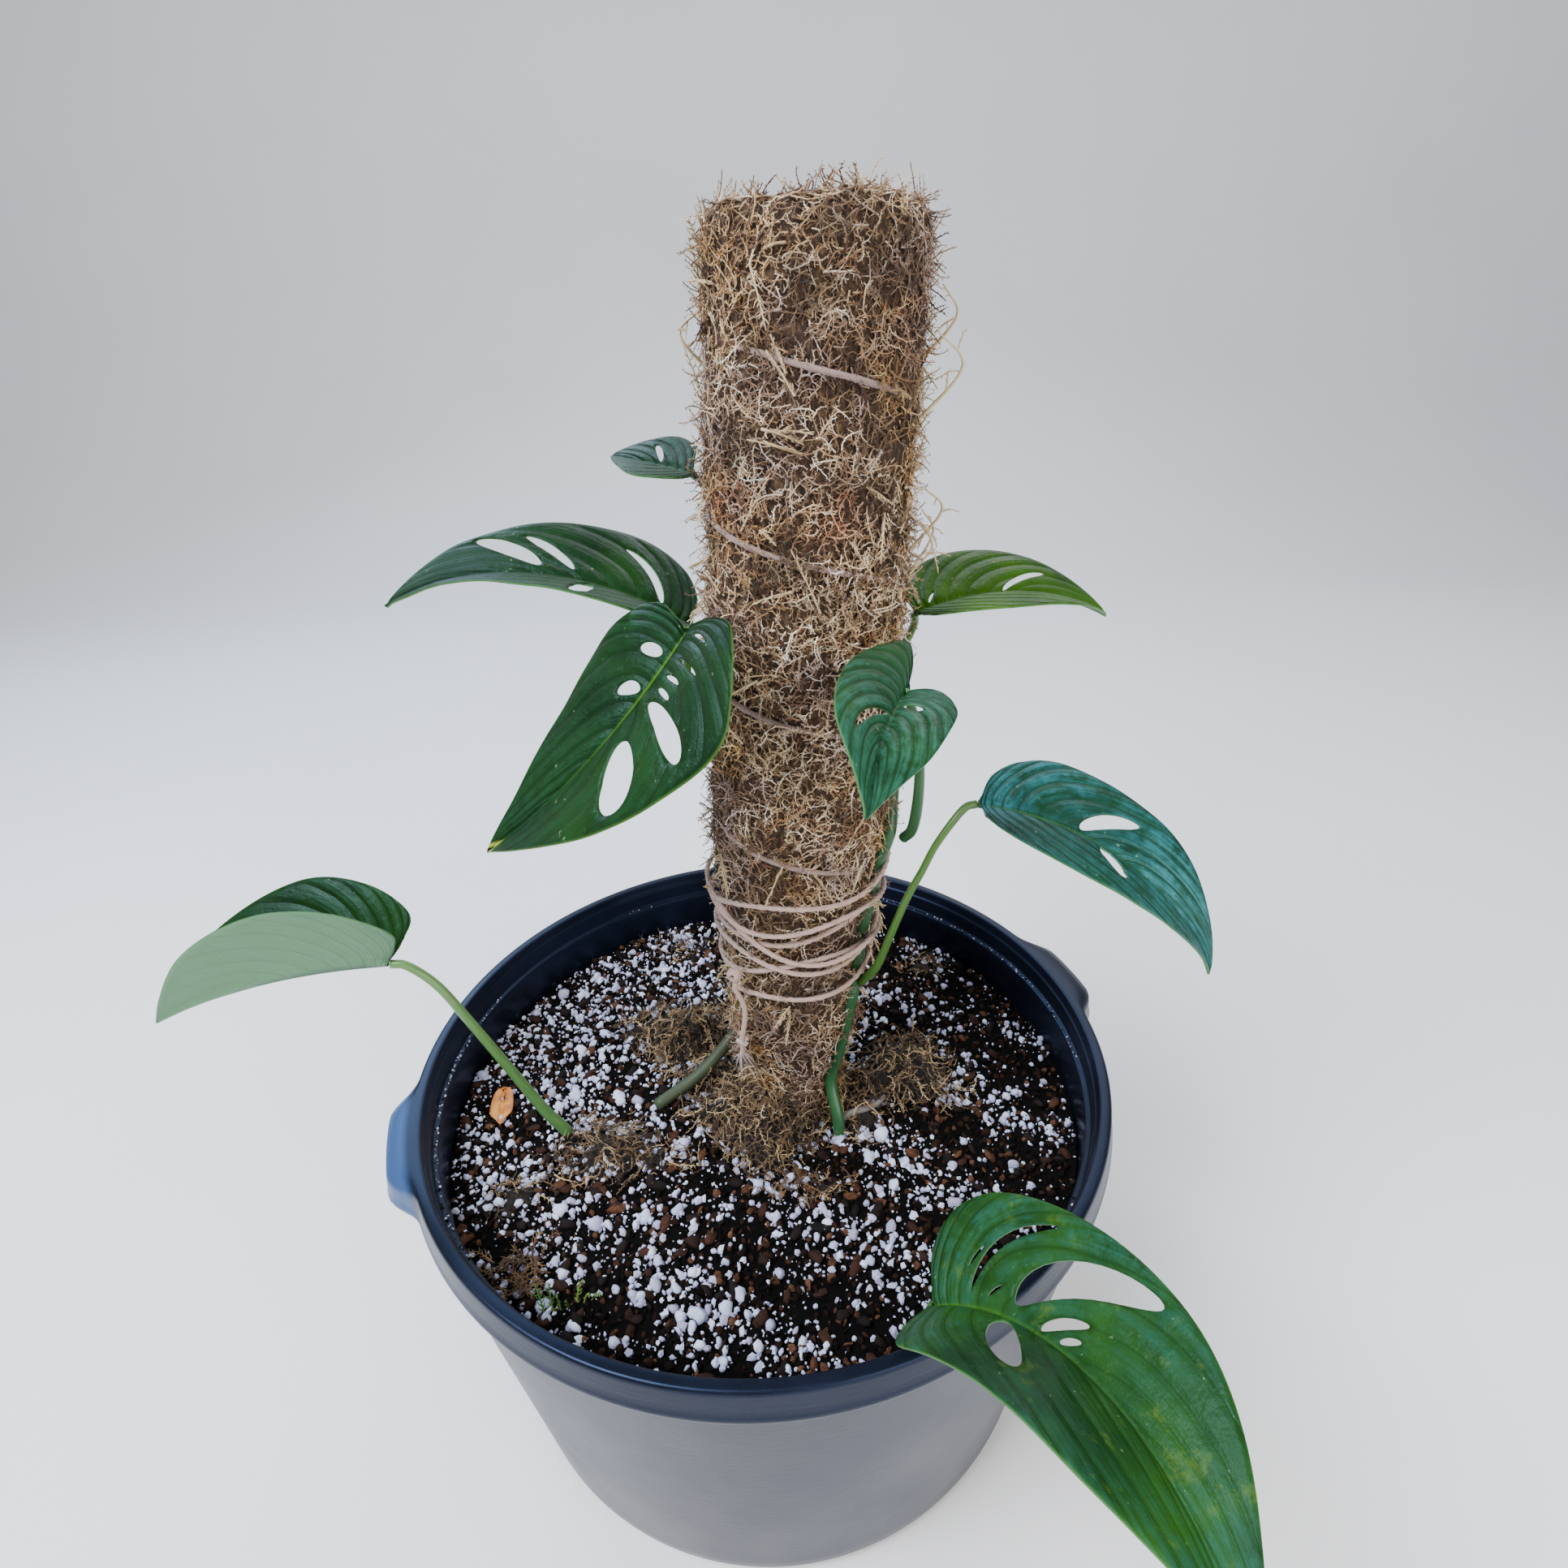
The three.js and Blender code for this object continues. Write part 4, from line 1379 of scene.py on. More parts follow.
@dataclass
class MossPole:
    """The moss wrapped round the pole: a matted sleeve under thousands of curled strands."""

    foot: float = 166
    top: float = POLE_TOP
    bands: int = 10
    density: float = 192000
    segments: int = 120
    core: float = 24.2
    shoulder: float = 12

    def sleeve(self, low: float, high: float, inset: float, cap: bool) -> Shape:
        """A band of the moss's surface.

        Args:
            low: its lowest height.
            high: its highest height.
            inset: how far it lies inside the moss's radius.
            cap: whether it closes over the pole's top.

        Returns:
            An open sheet that faces outwards.
        """
        segments = self.segments
        levels = np.arange(low, high + 1e-6, (high - low) / max(6, round((high - low) / 3)))
        angle = round_angles(segments)
        rings = []
        for z in levels:
            reach = moss_radius(z) - inset
            if z > self.top - self.shoulder:
                reach -= (z - self.top + self.shoulder) ** 2 * 0.04
            rings.append((reach, z))
        if cap:
            edge = rings[-1][0]
            rings += [(edge * share, self.top - inset) for share in (0.85, 0.6, 0.3, 0.04)]
        points = np.array([[r * np.cos(a), r * np.sin(a), z] for r, z in rings for a in angle])
        swell = 1.5 * ripple(points, 0.02, 21) + 0.9 * ripple(points, 0.08, 22)
        reach = np.hypot(points[:, 0], points[:, 1])
        points[:, :2] *= (1 + swell / np.maximum(reach, 8))[:, None]
        points[:, 2] += 0.6 * swell * (points[:, 2] > self.top - self.shoulder / 2)
        points[:, 0] += pole_x(points[:, 2])
        faces = between_rings(len(rings), segments)
        if cap:
            last = (len(rings) - 1) * segments
            faces.append(tuple(range(last, last + segments)))
        return Shape(points, faces)

    def build(self) -> None:
        """Makes the matted sleeve and the strands, band by band."""
        felt = self.sleeve(self.foot, self.top - 2, 2.2, True)
        segments, start, ceiling = self.segments, len(felt.points), self.top - 9
        inner = felt.points[:segments].copy()
        inner[:, 0] -= pole_x(self.foot)
        inner[:, :2] *= (self.core / np.hypot(inner[:, 0], inner[:, 1]))[:, None]
        tall = inner.copy()
        inner[:, 0] += pole_x(self.foot)
        tall[:, 2] = ceiling
        tall[:, 0] += pole_x(ceiling)
        felt.points = np.vstack([felt.points, inner, tall])
        for j in range(segments):
            n = (j + 1) % segments
            felt.faces.append((j, start + j, start + n, n))
            felt.faces.append((start + j, start + segments + j, start + segments + n, start + n))
        felt.faces.append(tuple(start + segments + j for j in range(segments)))
        settle(felt.build("moss_sleeve"), "moss", Felt().material(), "moss_wrap")

        strands = sprigs(31, 11, 0.36)
        height = (self.top - self.foot) / self.bands
        for k in range(self.bands):
            low, last = self.foot + k * height, k == self.bands - 1
            band = self.sleeve(low, low + height - (2 if last else 0), 1.4, last)
            scatter = Scatter(f"moss_strands_{k + 1}", strands, self.density, 40 + k, 0.5, 1.15, 0.4, 0.55)
            scatter.lay(band, self.cover(band.points), DRY_MOSS, "moss", "moss_wrap")

    @staticmethod
    def cover(points: Array) -> Array:
        """Fuller and barer patches, thin where the ties press and where the right stem shows.

        Args:
            points: places on the moss.

        Returns:
            How thickly each is strewn.
        """
        patches = 0.9 + 0.4 * ripple(points, 0.015, 33)
        waist = np.exp(-(((points[:, 2] - 285) / 26) ** 2)) * 0.35
        stem = np.array([on_pole(angle, z, 0) for angle, z in STEM_LINE])
        line = along(stem, 60)
        gap = np.min(np.linalg.norm(points[:, None] - line[None], axis=2), axis=1)
        return np.clip(patches - waist, 0.5, 1.3) * np.clip((gap - 3) / 5, 0.12, 1)


@dataclass(frozen=True)
class Tuft:
    """A heap of loose moss on the soil."""

    name: str
    centre: tuple[float, float]
    half: tuple[float, float]
    height: float
    turn: float
    density: float
    stands_for: str = ""

    def dome(self) -> Shape:
        """The heap's own low, ragged mound.

        Returns:
            The mound, as an open sheet that faces up.
        """
        rings, segments = 12, 48
        share = np.linspace(0, 1, rings + 1)[1:]
        angle = round_angles(segments)
        edge = 1 + 0.22 * np.sin(3 * angle + self.turn) + 0.12 * np.sin(7 * angle + 2 * self.turn)
        x = np.outer(share, np.cos(angle) * edge) * self.half[0]
        y = np.outer(share, np.sin(angle) * edge) * self.half[1]
        z = self.height * (1 - share**2)[:, None] ** 1.2 * 0.75 * np.ones(segments)
        lumps = np.sin(5 * x / self.half[0] + self.turn) * np.cos(4 * y / self.half[1])
        z += 0.16 * self.height * lumps * (1 - share[:, None] ** 2)
        cos, sin = math.cos(math.radians(self.turn)), math.sin(math.radians(self.turn))
        flat = np.stack([x * cos - y * sin, x * sin + y * cos, z], -1)
        heap = mound(flat.reshape(-1, 3), (0, 0, self.height * 0.75), rings)
        heap.points += (*self.centre, SOIL_TOP - 0.8)
        heap.points[:, 2] += 1.6 * ripple(heap.points, 0.05, 51) * (heap.points[:, 2] > SOIL_TOP + 1)
        return heap

    def build(self, number: int) -> None:
        """Makes the mound and its strands.

        Args:
            number: the heap's place in the list, which picks its strands.
        """
        heap = self.dome()
        radius = np.hypot(*(heap.points[:, :2] - self.centre).T) / max(self.half)
        cover = np.clip(1.25 - 0.75 * radius, 0.2, 1.2)
        hub = np.array([*self.centre, SOIL_TOP])
        seat = Shape(hub + (heap.points - hub) * (0.86, 0.86, 1.0) - (0, 0, 2.8), heap.faces)
        node = self.stands_for or self.name
        # a darker felt: its gap tone is painted shade deep under the heap's strands
        felt = Felt("tuft_mat", linear(8, 5, 3), linear(30, 20, 12), linear(78, 56, 34))
        settle(seat.build(self.name + "_mat"), "moss", felt.material(), node)
        strands = sprigs(60 + number, 10.5, 0.34)
        scatter = Scatter(self.name + "_strands", strands, self.density, 70 + number, 0.5, 1.3, 0.2, 1.1)
        scatter.lay(heap, cover, GOLD_MOSS, "moss", node)


TUFTS = (
    Tuft("moss_tuft_back_left", (-48, 42), (38, 25), 22, 0, 170000),
    Tuft("moss_tuft_front", (3, -24), (41, 29), 32, 0, 200000),
    Tuft("moss_tuft_left", (-74, -39), (41, 21), 10, -4, 130000),
    Tuft("moss_tuft_right", (76, 5), (34, 28), 18, 30, 150000),
    Tuft("moss_tuft_back_right", (101, 98), (18, 8), 8, -25, 80000),
    Tuft("moss_tuft_far_left", (-119, -63), (18, 11), 8, 20, 60000),
    Tuft("moss_tuft_back", (-52, 125), (36, 9), 7, -6, 80000),
    Tuft("moss_skirt_left", (-26, 8), (24, 20), 12, 10, 110000, "moss_tuft_back_left"),
    Tuft("moss_skirt_right", (48, -20), (22, 18), 12, -20, 110000, "moss_tuft_right"),
    Tuft("moss_skirt_front", (28, -66), (18, 8), 6, 15, 70000, "moss_tuft_front"),
)


# ---------------------------------------------------------------- twine


# the binding's groups of turns: first and last angle, first and last height, reach and sway
WINDINGS = (
    (-142, 1100, 252, 313, 3.0, 4.2),
    (1130, 1600, 312, 262, 5.6, 6.5),
    (1580, 900, 266, 308, 4.4, 5.0),
)


@dataclass
class Twine:
    """The rough twine that binds stems and moss to the pole."""

    radius: float = 1.3
    fibre: Fibre = Fibre()

    def rope(self, route: Sequence[Point], steps: int) -> Shape:
        """A twisted cord along a route.

        Args:
            route: points that it passes through.
            steps: how many points to make along it.

        Returns:
            The cord.
        """
        path = along(np.array(route), steps)
        uneven = 1 + 0.16 * ripple(path, 0.25, 94)
        return sweep(path, 0.95 * self.radius * uneven, 12, 3, 0.45, 6.5)

    def fuzz(self, route: Sequence[Point], count: int, seed: int) -> Shape:
        """Loose hairs that stand out of a cord.

        Args:
            route: points that the cord passes through.
            count: how many hairs.
            seed: picks the hairs.

        Returns:
            The hairs.
        """
        rng = np.random.default_rng(seed)
        path = along(np.array(route), count)
        hairs = []
        for k in range(count):
            away = rng.normal(size=3)
            away /= np.linalg.norm(away)
            foot = path[k] + away * self.radius * 0.8
            bend = foot + away * rng.uniform(0.8, 1.8) + rng.normal(0, 0.5, 3)
            line = np.array([foot, bend, bend + rng.normal(0, 1.1, 3)])
            hairs.append(sweep(line, np.array([0.14, 0.11, 0.05]), 3))
        return gathered(hairs)

    @staticmethod
    def sunk(point: Point) -> Point:
        """The spiral's point, drawn into the moss except where one strand shows.

        Args:
            point: a point of the spiral.

        Returns:
            Where it lies.
        """
        x, y, z = point
        axis = pole_x(z)
        shows = z > 500 and abs(math.degrees(math.atan2(y, x - axis)) + 84) < 24
        share = 1.0 - (0.0 if shows else 0.055)
        return (axis + (x - axis) * share, y * share, z)

    @staticmethod
    def slack(route: Sequence[Point], sway: float) -> list[Point]:
        """The route with its turns slipped up and down, as hand-wound twine is.

        Args:
            route: the even winding.
            sway: how far points slip.

        Returns:
            The slipped points.
        """
        wave = [math.sin(0.31 * k) + 0.7 * math.sin(0.83 * k + 1.0) for k in range(len(route))]
        return [(x, y, z + sway * w) for (x, y, z), w in zip(route, wave)]

    def tail(self) -> None:
        """The free end that hangs from the knot, as a cord piece."""
        route = [(-8.6, -33.2, 266), (-9, -32.6, 261), (-5.8, -32, 252), (-5.5, -32, 243)]
        route += [(-7.2, -32, 232.7), (-7.5, -32, 228), (-7.9, -32, 219.5)]
        path = along(np.array(route), 40)
        strand = sweep(path, np.concatenate([np.full(30, 1.3), np.linspace(1.3, 1.25, 10)]), 12, 2, 0.35, 8.0)
        piece = settle(strand.build("twine_tail_cord"), "twine", self.fibre.material(), "twine_tail")
        brush = self.brush(path)

    def brush(self, path: Array) -> bpy.types.Object:
        """The small end knot and the frayed fibres below it.

        Args:
            path: the tail's middle line, from its exit down.

        Returns:
            The finished piece.
        """
        rng = np.random.default_rng(91)
        centre = path[-9]
        a = np.linspace(0, 6.0, 14)
        loop = centre + np.stack([2.1 * np.cos(a), 1.9 * np.sin(a), 1.1 * np.sin(2 * a)], -1)
        shape = sweep(along(loop, 30), 1.15, 8)
        for _ in range(46):
            foot = path[-2] + rng.normal(0, 0.6, 3) * (1, 1, 0.4) + (0, 0, 1.5)
            side = rng.normal(0, 1, 3) * (1.5, 1.3, 0.3)
            tip = path[-1] + side * 1.9 + (0, 0, -rng.uniform(3.5, 7))
            line = np.array([foot, (foot + tip) / 2 + side * 0.2, tip])
            shape = shape.joined(sweep(line, np.array([0.34, 0.3, 0.2]), 3))
        pale = Fibre("twine_brush", linear(226, 204, 200)).material()
        return settle(shape.build("twine_tail_brush"), "twine", pale, "twine_tail")

    def build(self) -> None:
        """Makes the windings and the knot."""
        material = self.fibre.material()
        binding = [point for *winding, sway in WINDINGS for point in self.slack(turns(*winding), sway)]
        rope = self.rope(binding, 1200).joined(self.fuzz(binding, 620, 92))
        settle(rope.build("twine_binding"), "twine", material, "binding_twine")
        spiral = [self.sunk(point) for point in turns(-55, -1225, 322, 530, 0.6)]
        rope = self.rope(spiral, 700).joined(self.fuzz(spiral, 320, 93))
        dull = Fibre("twine_spiral_fibre", linear(186, 158, 150), linear(84, 62, 54)).material()
        settle(rope.build("twine_spiral"), "twine", dull, "spiral_twine")
        centre = np.array([-9, -33.8, 270.6])
        lobes = []
        for k, tilt in enumerate((0.2, 1.3, 2.3)):
            a = np.linspace(0, 2 * np.pi, 26)[:-1]
            flat = np.stack([2.3 * np.cos(a), 0.9 * np.sin(2 * a), 2.2 * np.sin(a)], -1)
            spin = np.array(Matrix.Rotation(tilt, 3, "Y") @ Matrix.Rotation(0.5 * k, 3, "X"))
            lobes.append(sweep(flat @ spin.T + centre, 1.25, 8, 2, 0.25, 6.0))
        settle(gathered(lobes).build("twine_knot_loops"), "twine", material, "twine_knot")


# ---------------------------------------------------------------- stems


@dataclass(frozen=True)
class Stem:
    """A smooth green stem or stalk, with rings where leaves grow from it."""

    name: str
    node: str
    route: tuple[Point, ...]
    radii: tuple[float, ...]
    skin: Skin
    slot: str = "stem"
    rings: tuple[float, ...] = ()
    steps: int = 90
    sides: int = 18

    def build(self) -> None:
        """Makes the stem."""
        path = along(np.array(self.route), self.steps)
        share = np.linspace(0, 1, self.steps)
        radius = np.interp(share, np.linspace(0, 1, len(self.radii)), self.radii)
        for ring in self.rings:
            swell = 0.16 * np.exp(-(((share - ring) / 0.012) ** 2))
            neck = 0.06 * np.exp(-(((share - ring - 0.02) / 0.008) ** 2))
            radius = radius * (1 + swell - neck)
        shape = sweep(path, radius, self.sides)
        settle(shape.build(self.name), self.slot, self.skin.material(), self.node)


GREEN = Skin("stalk_skin", linear(34, 78, 24), linear(66, 112, 42), linear(52, 84, 30))
VINE_GREEN = Skin("vine_skin", linear(24, 66, 36), linear(48, 98, 56), linear(34, 58, 28))
OLD = Skin("old_stem_skin", linear(28, 44, 24), linear(54, 66, 38), linear(34, 28, 18), 0.6)
PALE_GREEN = Skin("pale_stalk_skin", linear(48, 96, 44), linear(90, 138, 76), linear(70, 108, 54))
SUNK = -1.2  # how far stems lie beyond the moss's surface

STEMS = (
    Stem(
        "stem_right", "vine_right",
        ((38, -36, 150), (38.5, -31, 172), on_pole(-48, 190, 1),
         *(on_pole(angle, z, SUNK) for angle, z in STEM_LINE[:6]),
         (63.5, -12, 331), (65, -6, 345), (67, 2, 365), (67.5, 12, 390), (68, 20, 412)),
        (3.0, 3.2, 3.3, 3.3, 3.1, 2.9), VINE_GREEN, rings=(0.36, 0.62, 0.9),
    ),
    Stem(
        "stem_left", "vine_left",
        ((-57, -13, 168.3), (-50, -8, 170), (-40, -2, 173), (-28, 4, 181),
         on_pole(150, 200, 2), on_pole(148, 222, SUNK),
         on_pole(150, 250, SUNK), on_pole(150, 285, SUNK), on_pole(150, 316, SUNK), on_pole(150, 340, 1.5),
         on_pole(150, 380, 2.2), on_pole(142, 430, 2.2), on_pole(136, 466, 1.0)),
        (3.1, 3.3, 3.3, 3.2, 3.0, 2.8), OLD, "old_stem", (0.1, 0.2, 0.5, 0.75),
    ),
    Stem(
        "stalk_upper_left", "petiole_upper_left",
        ((-26, 38, 372), (-29, 35, 392), (-26, 27, 410), (-21.5, 21.8, 417.4)), (2.2, 1.9, 1.8), GREEN,
    ),
    Stem(
        "stalk_large_left", "petiole_large_left",
        ((-22, 17, 374), (-24, 8, 386), (-22.5, -4, 397), (-20, -19, 412), (-17.7, -29.5, 428)),
        (2.2, 1.9, 1.8), GREEN,
    ),
    Stem(
        "stalk_small_top_left", "petiole_small_top_left",
        ((-5, 40, 454), (-8, 39, 466), (-12, 34, 476), (-15.1, 26.8, 480.2)), (1.9, 1.6, 1.5), GREEN,
    ),
    Stem(
        "stalk_upper_right", "petiole_upper_right",
        ((70, 21, 402), (75, 23, 410), (76.6, 19, 417), (75.8, 15.4, 421.6)), (2.0, 1.8, 1.7), GREEN,
    ),
    Stem(
        "stalk_heart_right", "petiole_heart_right",
        ((70, -12, 327), (73, -16.5, 334), (74, -22, 350), (73, -29, 372), (68, -44, 398),
         (63, -53.6, 411.8)),
        (2.4, 2.5, 2.2, 1.8, 1.7, 1.7), VINE_GREEN,
    ),
    Stem(
        "stalk_right", "petiole_right",
        ((50.5, -19.5, 252), (54.5, -23.5, 260), (58, -26, 268), (63.6, -28, 287), (69.6, -29, 305.6),
         (75.9, -29, 319.8), (82.2, -28, 333.3), (93.3, -24, 347), (99.3, -22.1, 348.4)),
        (2.2, 1.8, 1.7, 1.6, 1.8), GREEN,
    ),
    Stem(
        "stalk_left_edge", "petiole_left_edge",
        ((-100, -24.5, 150), (-103, -25, 166), (-111, -26, 181.6), (-123.4, -28, 213.7),
         (-136.6, -30, 247.3), (-146.5, -30, 267.8), (-157.5, -30, 279.6), (-164.8, -30, 281.2)),
        (3.1, 2.9, 2.5, 2.3, 2.1, 2.0), PALE_GREEN,
    ),
    Stem(
        "stalk_front_right", "petiole_front_right",
        ((55, -133, 150), (57, -137, 165), (61, -143, 182), (64.6, -145.6, 193), (66, -146, 199)),
        (2.3, 2.1, 2.0), GREEN,
    ),
)


# ---------------------------------------------------------------- leaves


@dataclass(frozen=True)
class Side:
    """Half of a blade: its width, widest place, lobe and fullness in lengths, and its fold in degrees."""

    width: float
    widest: float
    lobe: float
    fullness: float
    fold: float

    def edge(self, t: Array) -> Array:
        """The half's edge, along and out, at places from base to tip.

        Args:
            t: the places, from 0 to 1.

        Returns:
            Pairs of how far along and how far out, in lengths.
        """
        w, p, b, s = self.width, self.widest, self.lobe, self.fullness
        points = [(0, 0), (-0.8 * b, 0.25 * w), (-b, 0.52 * w), (0.35 * p - 0.4 * b, 0.86 * w), (p, w)]
        points += [(p + (1 - p) * 0.45, 0.76 * w * s), (p + (1 - p) * 0.8, 0.3 * w * s), (1, 0)]
        return catmull(np.array(points), t)


@dataclass(frozen=True)
class Hole:
    """A slot between side veins, on the left (1) or the right (-1) of the midrib."""

    hand: int
    along: float
    out: float
    half_width: float
    half_length: float
    slant: float

    def outline(self, corners: int = 36) -> Array:
        """Its edge as places along and across the blade.

        Args:
            corners: how many places to make.

        Returns:
            The places.
        """
        turn = round_angles(corners)
        across = self.half_length * np.sign(np.cos(turn)) * np.abs(np.cos(turn)) ** 0.9
        along_it = self.half_width * np.sin(turn) + self.slant * across
        return np.stack([self.along + along_it, self.hand * (self.out + across)], -1)

    def depth(self, places: Array) -> Array:
        """How far out from its middle each place is; 1 is on its edge.

        Args:
            places: places along and across the blade.

        Returns:
            The distances, in half widths.
        """
        across = self.hand * places[:, 1] - self.out
        along_it = places[:, 0] - self.along - self.slant * across
        return np.hypot(across / self.half_length, along_it / self.half_width)


@dataclass(frozen=True)
class Leaf:
    """A monstera leaf: a folded, drooping blade with slots between its veins."""

    name: str
    base: Point
    length: float
    heading: float
    pitch: float
    droop: float
    sweep: float
    roll: float
    twist: float
    curl: float
    left: Side
    right: Side
    holes: tuple[Hole, ...]
    skin: Blade | Paper
    veins: float
    thickness: float = 0.8
    wave: float = 1.1
    quilt: float = 0.6
    rows: int = 150
    columns: int = 18
    slot: str = "leaf"

    def rib_direction(self, u: Array) -> tuple[Array, Array]:
        """The midrib's direction, and its heading in radians, at shares of its length.

        Args:
            u: the shares.

        Returns:
            The directions and the headings.
        """
        ahead = np.maximum(u, 0)
        tilt = np.radians(self.pitch - self.droop * ahead**1.2)
        turn = np.radians(self.heading + self.sweep * ahead)
        return np.stack([np.cos(tilt) * np.cos(turn), np.cos(tilt) * np.sin(turn), np.sin(tilt)], -1), turn

    def rib_point(self, u: Array) -> Array:
        """The midrib's place at shares of its length.

        Args:
            u: the shares; below 0 is behind the stalk's end.

        Returns:
            The places, from the leaf's base.
        """
        steps = 40
        middle, _ = self.rib_direction((np.arange(steps) + 0.5) / steps)
        share = np.clip(u[:, None] * steps - np.arange(steps), 0, 1)
        start, _ = self.rib_direction(np.zeros(1))
        return (share @ middle / steps + np.minimum(u, 0)[:, None] * start) * self.length

    def blade_point(self, hand: Array, u: Array, v: Array) -> Array:
        """A place on the blade: u along the midrib and v out from it.

        Args:
            hand: 1 for the left half and -1 for the right.
            u: how far along, in lengths.
            v: how far out, in lengths.

        Returns:
            The places.
        """
        ahead, turn = self.rib_direction(u)
        roll = np.radians(self.roll + self.twist * np.maximum(u, 0))[:, None]
        level = np.stack([-np.sin(turn), np.cos(turn), np.zeros_like(turn)], -1)
        upright = np.cross(ahead, level)
        across = level * np.cos(roll) + upright * np.sin(roll)
        normal = upright * np.cos(roll) - level * np.sin(roll)
        fold = np.radians(np.where(hand > 0, self.left.fold, self.right.fold))
        size = self.length * v
        aside = hand * size * np.cos(fold)
        lift = size * np.sin(fold) - self.curl * size * v
        return self.base + self.rib_point(u) + across * aside[:, None] + normal * lift[:, None]

    def place(self, places: Array) -> tuple[Array, Array]:
        """Where places on the plan are in space, and how far out from the midrib.

        Args:
            places: places along, 0 to 1, and across, -1 to 1.

        Returns:
            The places in space, and their distances from the midrib.
        """
        t, out = np.clip(places[:, 0], 0, 1), np.abs(places[:, 1])
        hand = np.where(places[:, 1] >= 0, 1.0, -1.0)
        edge = np.where((hand > 0)[:, None], self.left.edge(t), self.right.edge(t))
        rib = t**2.6
        middle = (rib + edge[:, 0]) / 2 - 0.18 * np.abs(edge[:, 1])
        u = (1 - out) ** 2 * rib + 2 * out * (1 - out) * middle + out**2 * edge[:, 0]
        v = out * edge[:, 1]
        return self.blade_point(hand, u, v), v * self.length

    def plan(self) -> tuple[Array, list]:
        """The flat plan: places along and across, in triangles, with the slots cut out.

        Returns:
            The places, and the triangles' corners.
        """
        t = np.linspace(0, 1, self.rows + 1)
        across = np.linspace(-1, 1, 2 * self.columns + 1)
        grid = np.stack(np.meshgrid(t, across, indexing="ij"), -1).reshape(-1, 2)
        for hole in self.holes:
            grid = grid[(hole.depth(grid) > 1.12) | (hole.hand * grid[:, 1] < 0)]
        points, edges = [*grid], []
        for hole in self.holes:
            outline = hole.outline()
            start, count = len(points), len(outline)
            points += [*outline]
            edges += [(start + k, start + (k + 1) % count) for k in range(count)]
        flat = [Vector((float(a), 0.3 * float(b))) for a, b in points]
        made, _, faces, *_ = delaunay_2d_cdt(flat, edges, [], 0, 1e-7)
        places = np.array([(v.x, v.y / 0.3) for v in made])
        corners = np.array([tuple(f) for f in faces])
        middle = places[corners].mean(1)
        solid = np.ones(len(corners), bool)
        for hole in self.holes:
            solid &= (hole.depth(middle) > 0.999) | (hole.hand * middle[:, 1] < 0)
        merged = np.arange(len(places))
        for end in (0.0, 1.0):
            tip = np.flatnonzero(np.abs(places[:, 0] - end) < 1e-6)
            merged[tip] = tip[np.argmin(np.abs(places[tip, 1]))]
        corners = merged[corners[solid]]
        corners = corners[np.all(corners != np.roll(corners, 1, axis=1), axis=1)]
        used, inverse = np.unique(corners, return_inverse=True)
        return places[used], inverse.reshape(-1, 3)

    def relief(self, places: Array, points: Array, away: Array) -> Array:
        """How far the blade stands off its smooth form: quilted panels, a sunken midrib, soft waves.

        Args:
            places: places along and across.
            points: the same places in space.
            away: their distances from the midrib.

        Returns:
            The height of each place.
        """
        t, out = places[:, 0], np.abs(places[:, 1])
        phase = np.abs(((t - SWEEP * out**SWEEP_POWER) * self.veins) % 1 - 0.5)
        panel = 1 - np.clip(phase / 0.5, 0, 1) ** 2.2
        fade = np.clip(out / 0.15, 0, 1) * np.clip((1.02 - out) / 0.2, 0, 1)
        fade *= np.clip((1.0 - t) / 0.3, 0.1, 1)
        quilt = 0.7 * self.quilt * panel * fade
        groove = -0.7 * np.exp(-((away / 1.3) ** 2))
        waves = self.wave * out**1.5 * ripple(points, 0.012, len(self.name) + int(self.length))
        return quilt + groove + waves

    def build(self) -> None:
        """Makes the leaf."""
        places, corners = self.plan()
        points, away = self.place(places)
        normal = np.zeros_like(points)
        first, second, third = (points[corners[:, k]] for k in range(3))
        facing = np.cross(second - first, third - first)
        for k in range(3):
            np.add.at(normal, corners[:, k], facing)
        normal /= np.linalg.norm(normal, axis=1)[:, None] + 1e-12
        rise = self.relief(places, points, away)
        middle = points + normal * rise[:, None]
        bulge = 0.9 * np.exp(-((away / 1.4) ** 2)) * np.clip(6 * (1 - places[:, 0]), 0, 1)
        top = middle + normal * self.thickness / 2
        low = middle - normal * (self.thickness / 2 + bulge)[:, None]
        count = len(points)
        faces: list = [tuple(f) for f in corners]
        faces += [(a + count, c + count, b + count) for a, b, c in corners]
        sides = {(a, b) for f in corners.tolist() for a, b in zip(f, f[1:] + f[:1])}
        faces += [(b, a, a + count, b + count) for a, b in sorted(sides) if (b, a) not in sides]
        uv = np.stack([places[:, 0], 0.5 + 0.5 * places[:, 1]], -1)
        under = np.concatenate([np.zeros(count), np.ones(count)])
        shape = Shape(np.vstack([top, low]), faces, np.vstack([uv, uv]), {"under": under})
        settle(shape.build(self.name + "_blade"), self.slot, self.skin.material(), self.name)


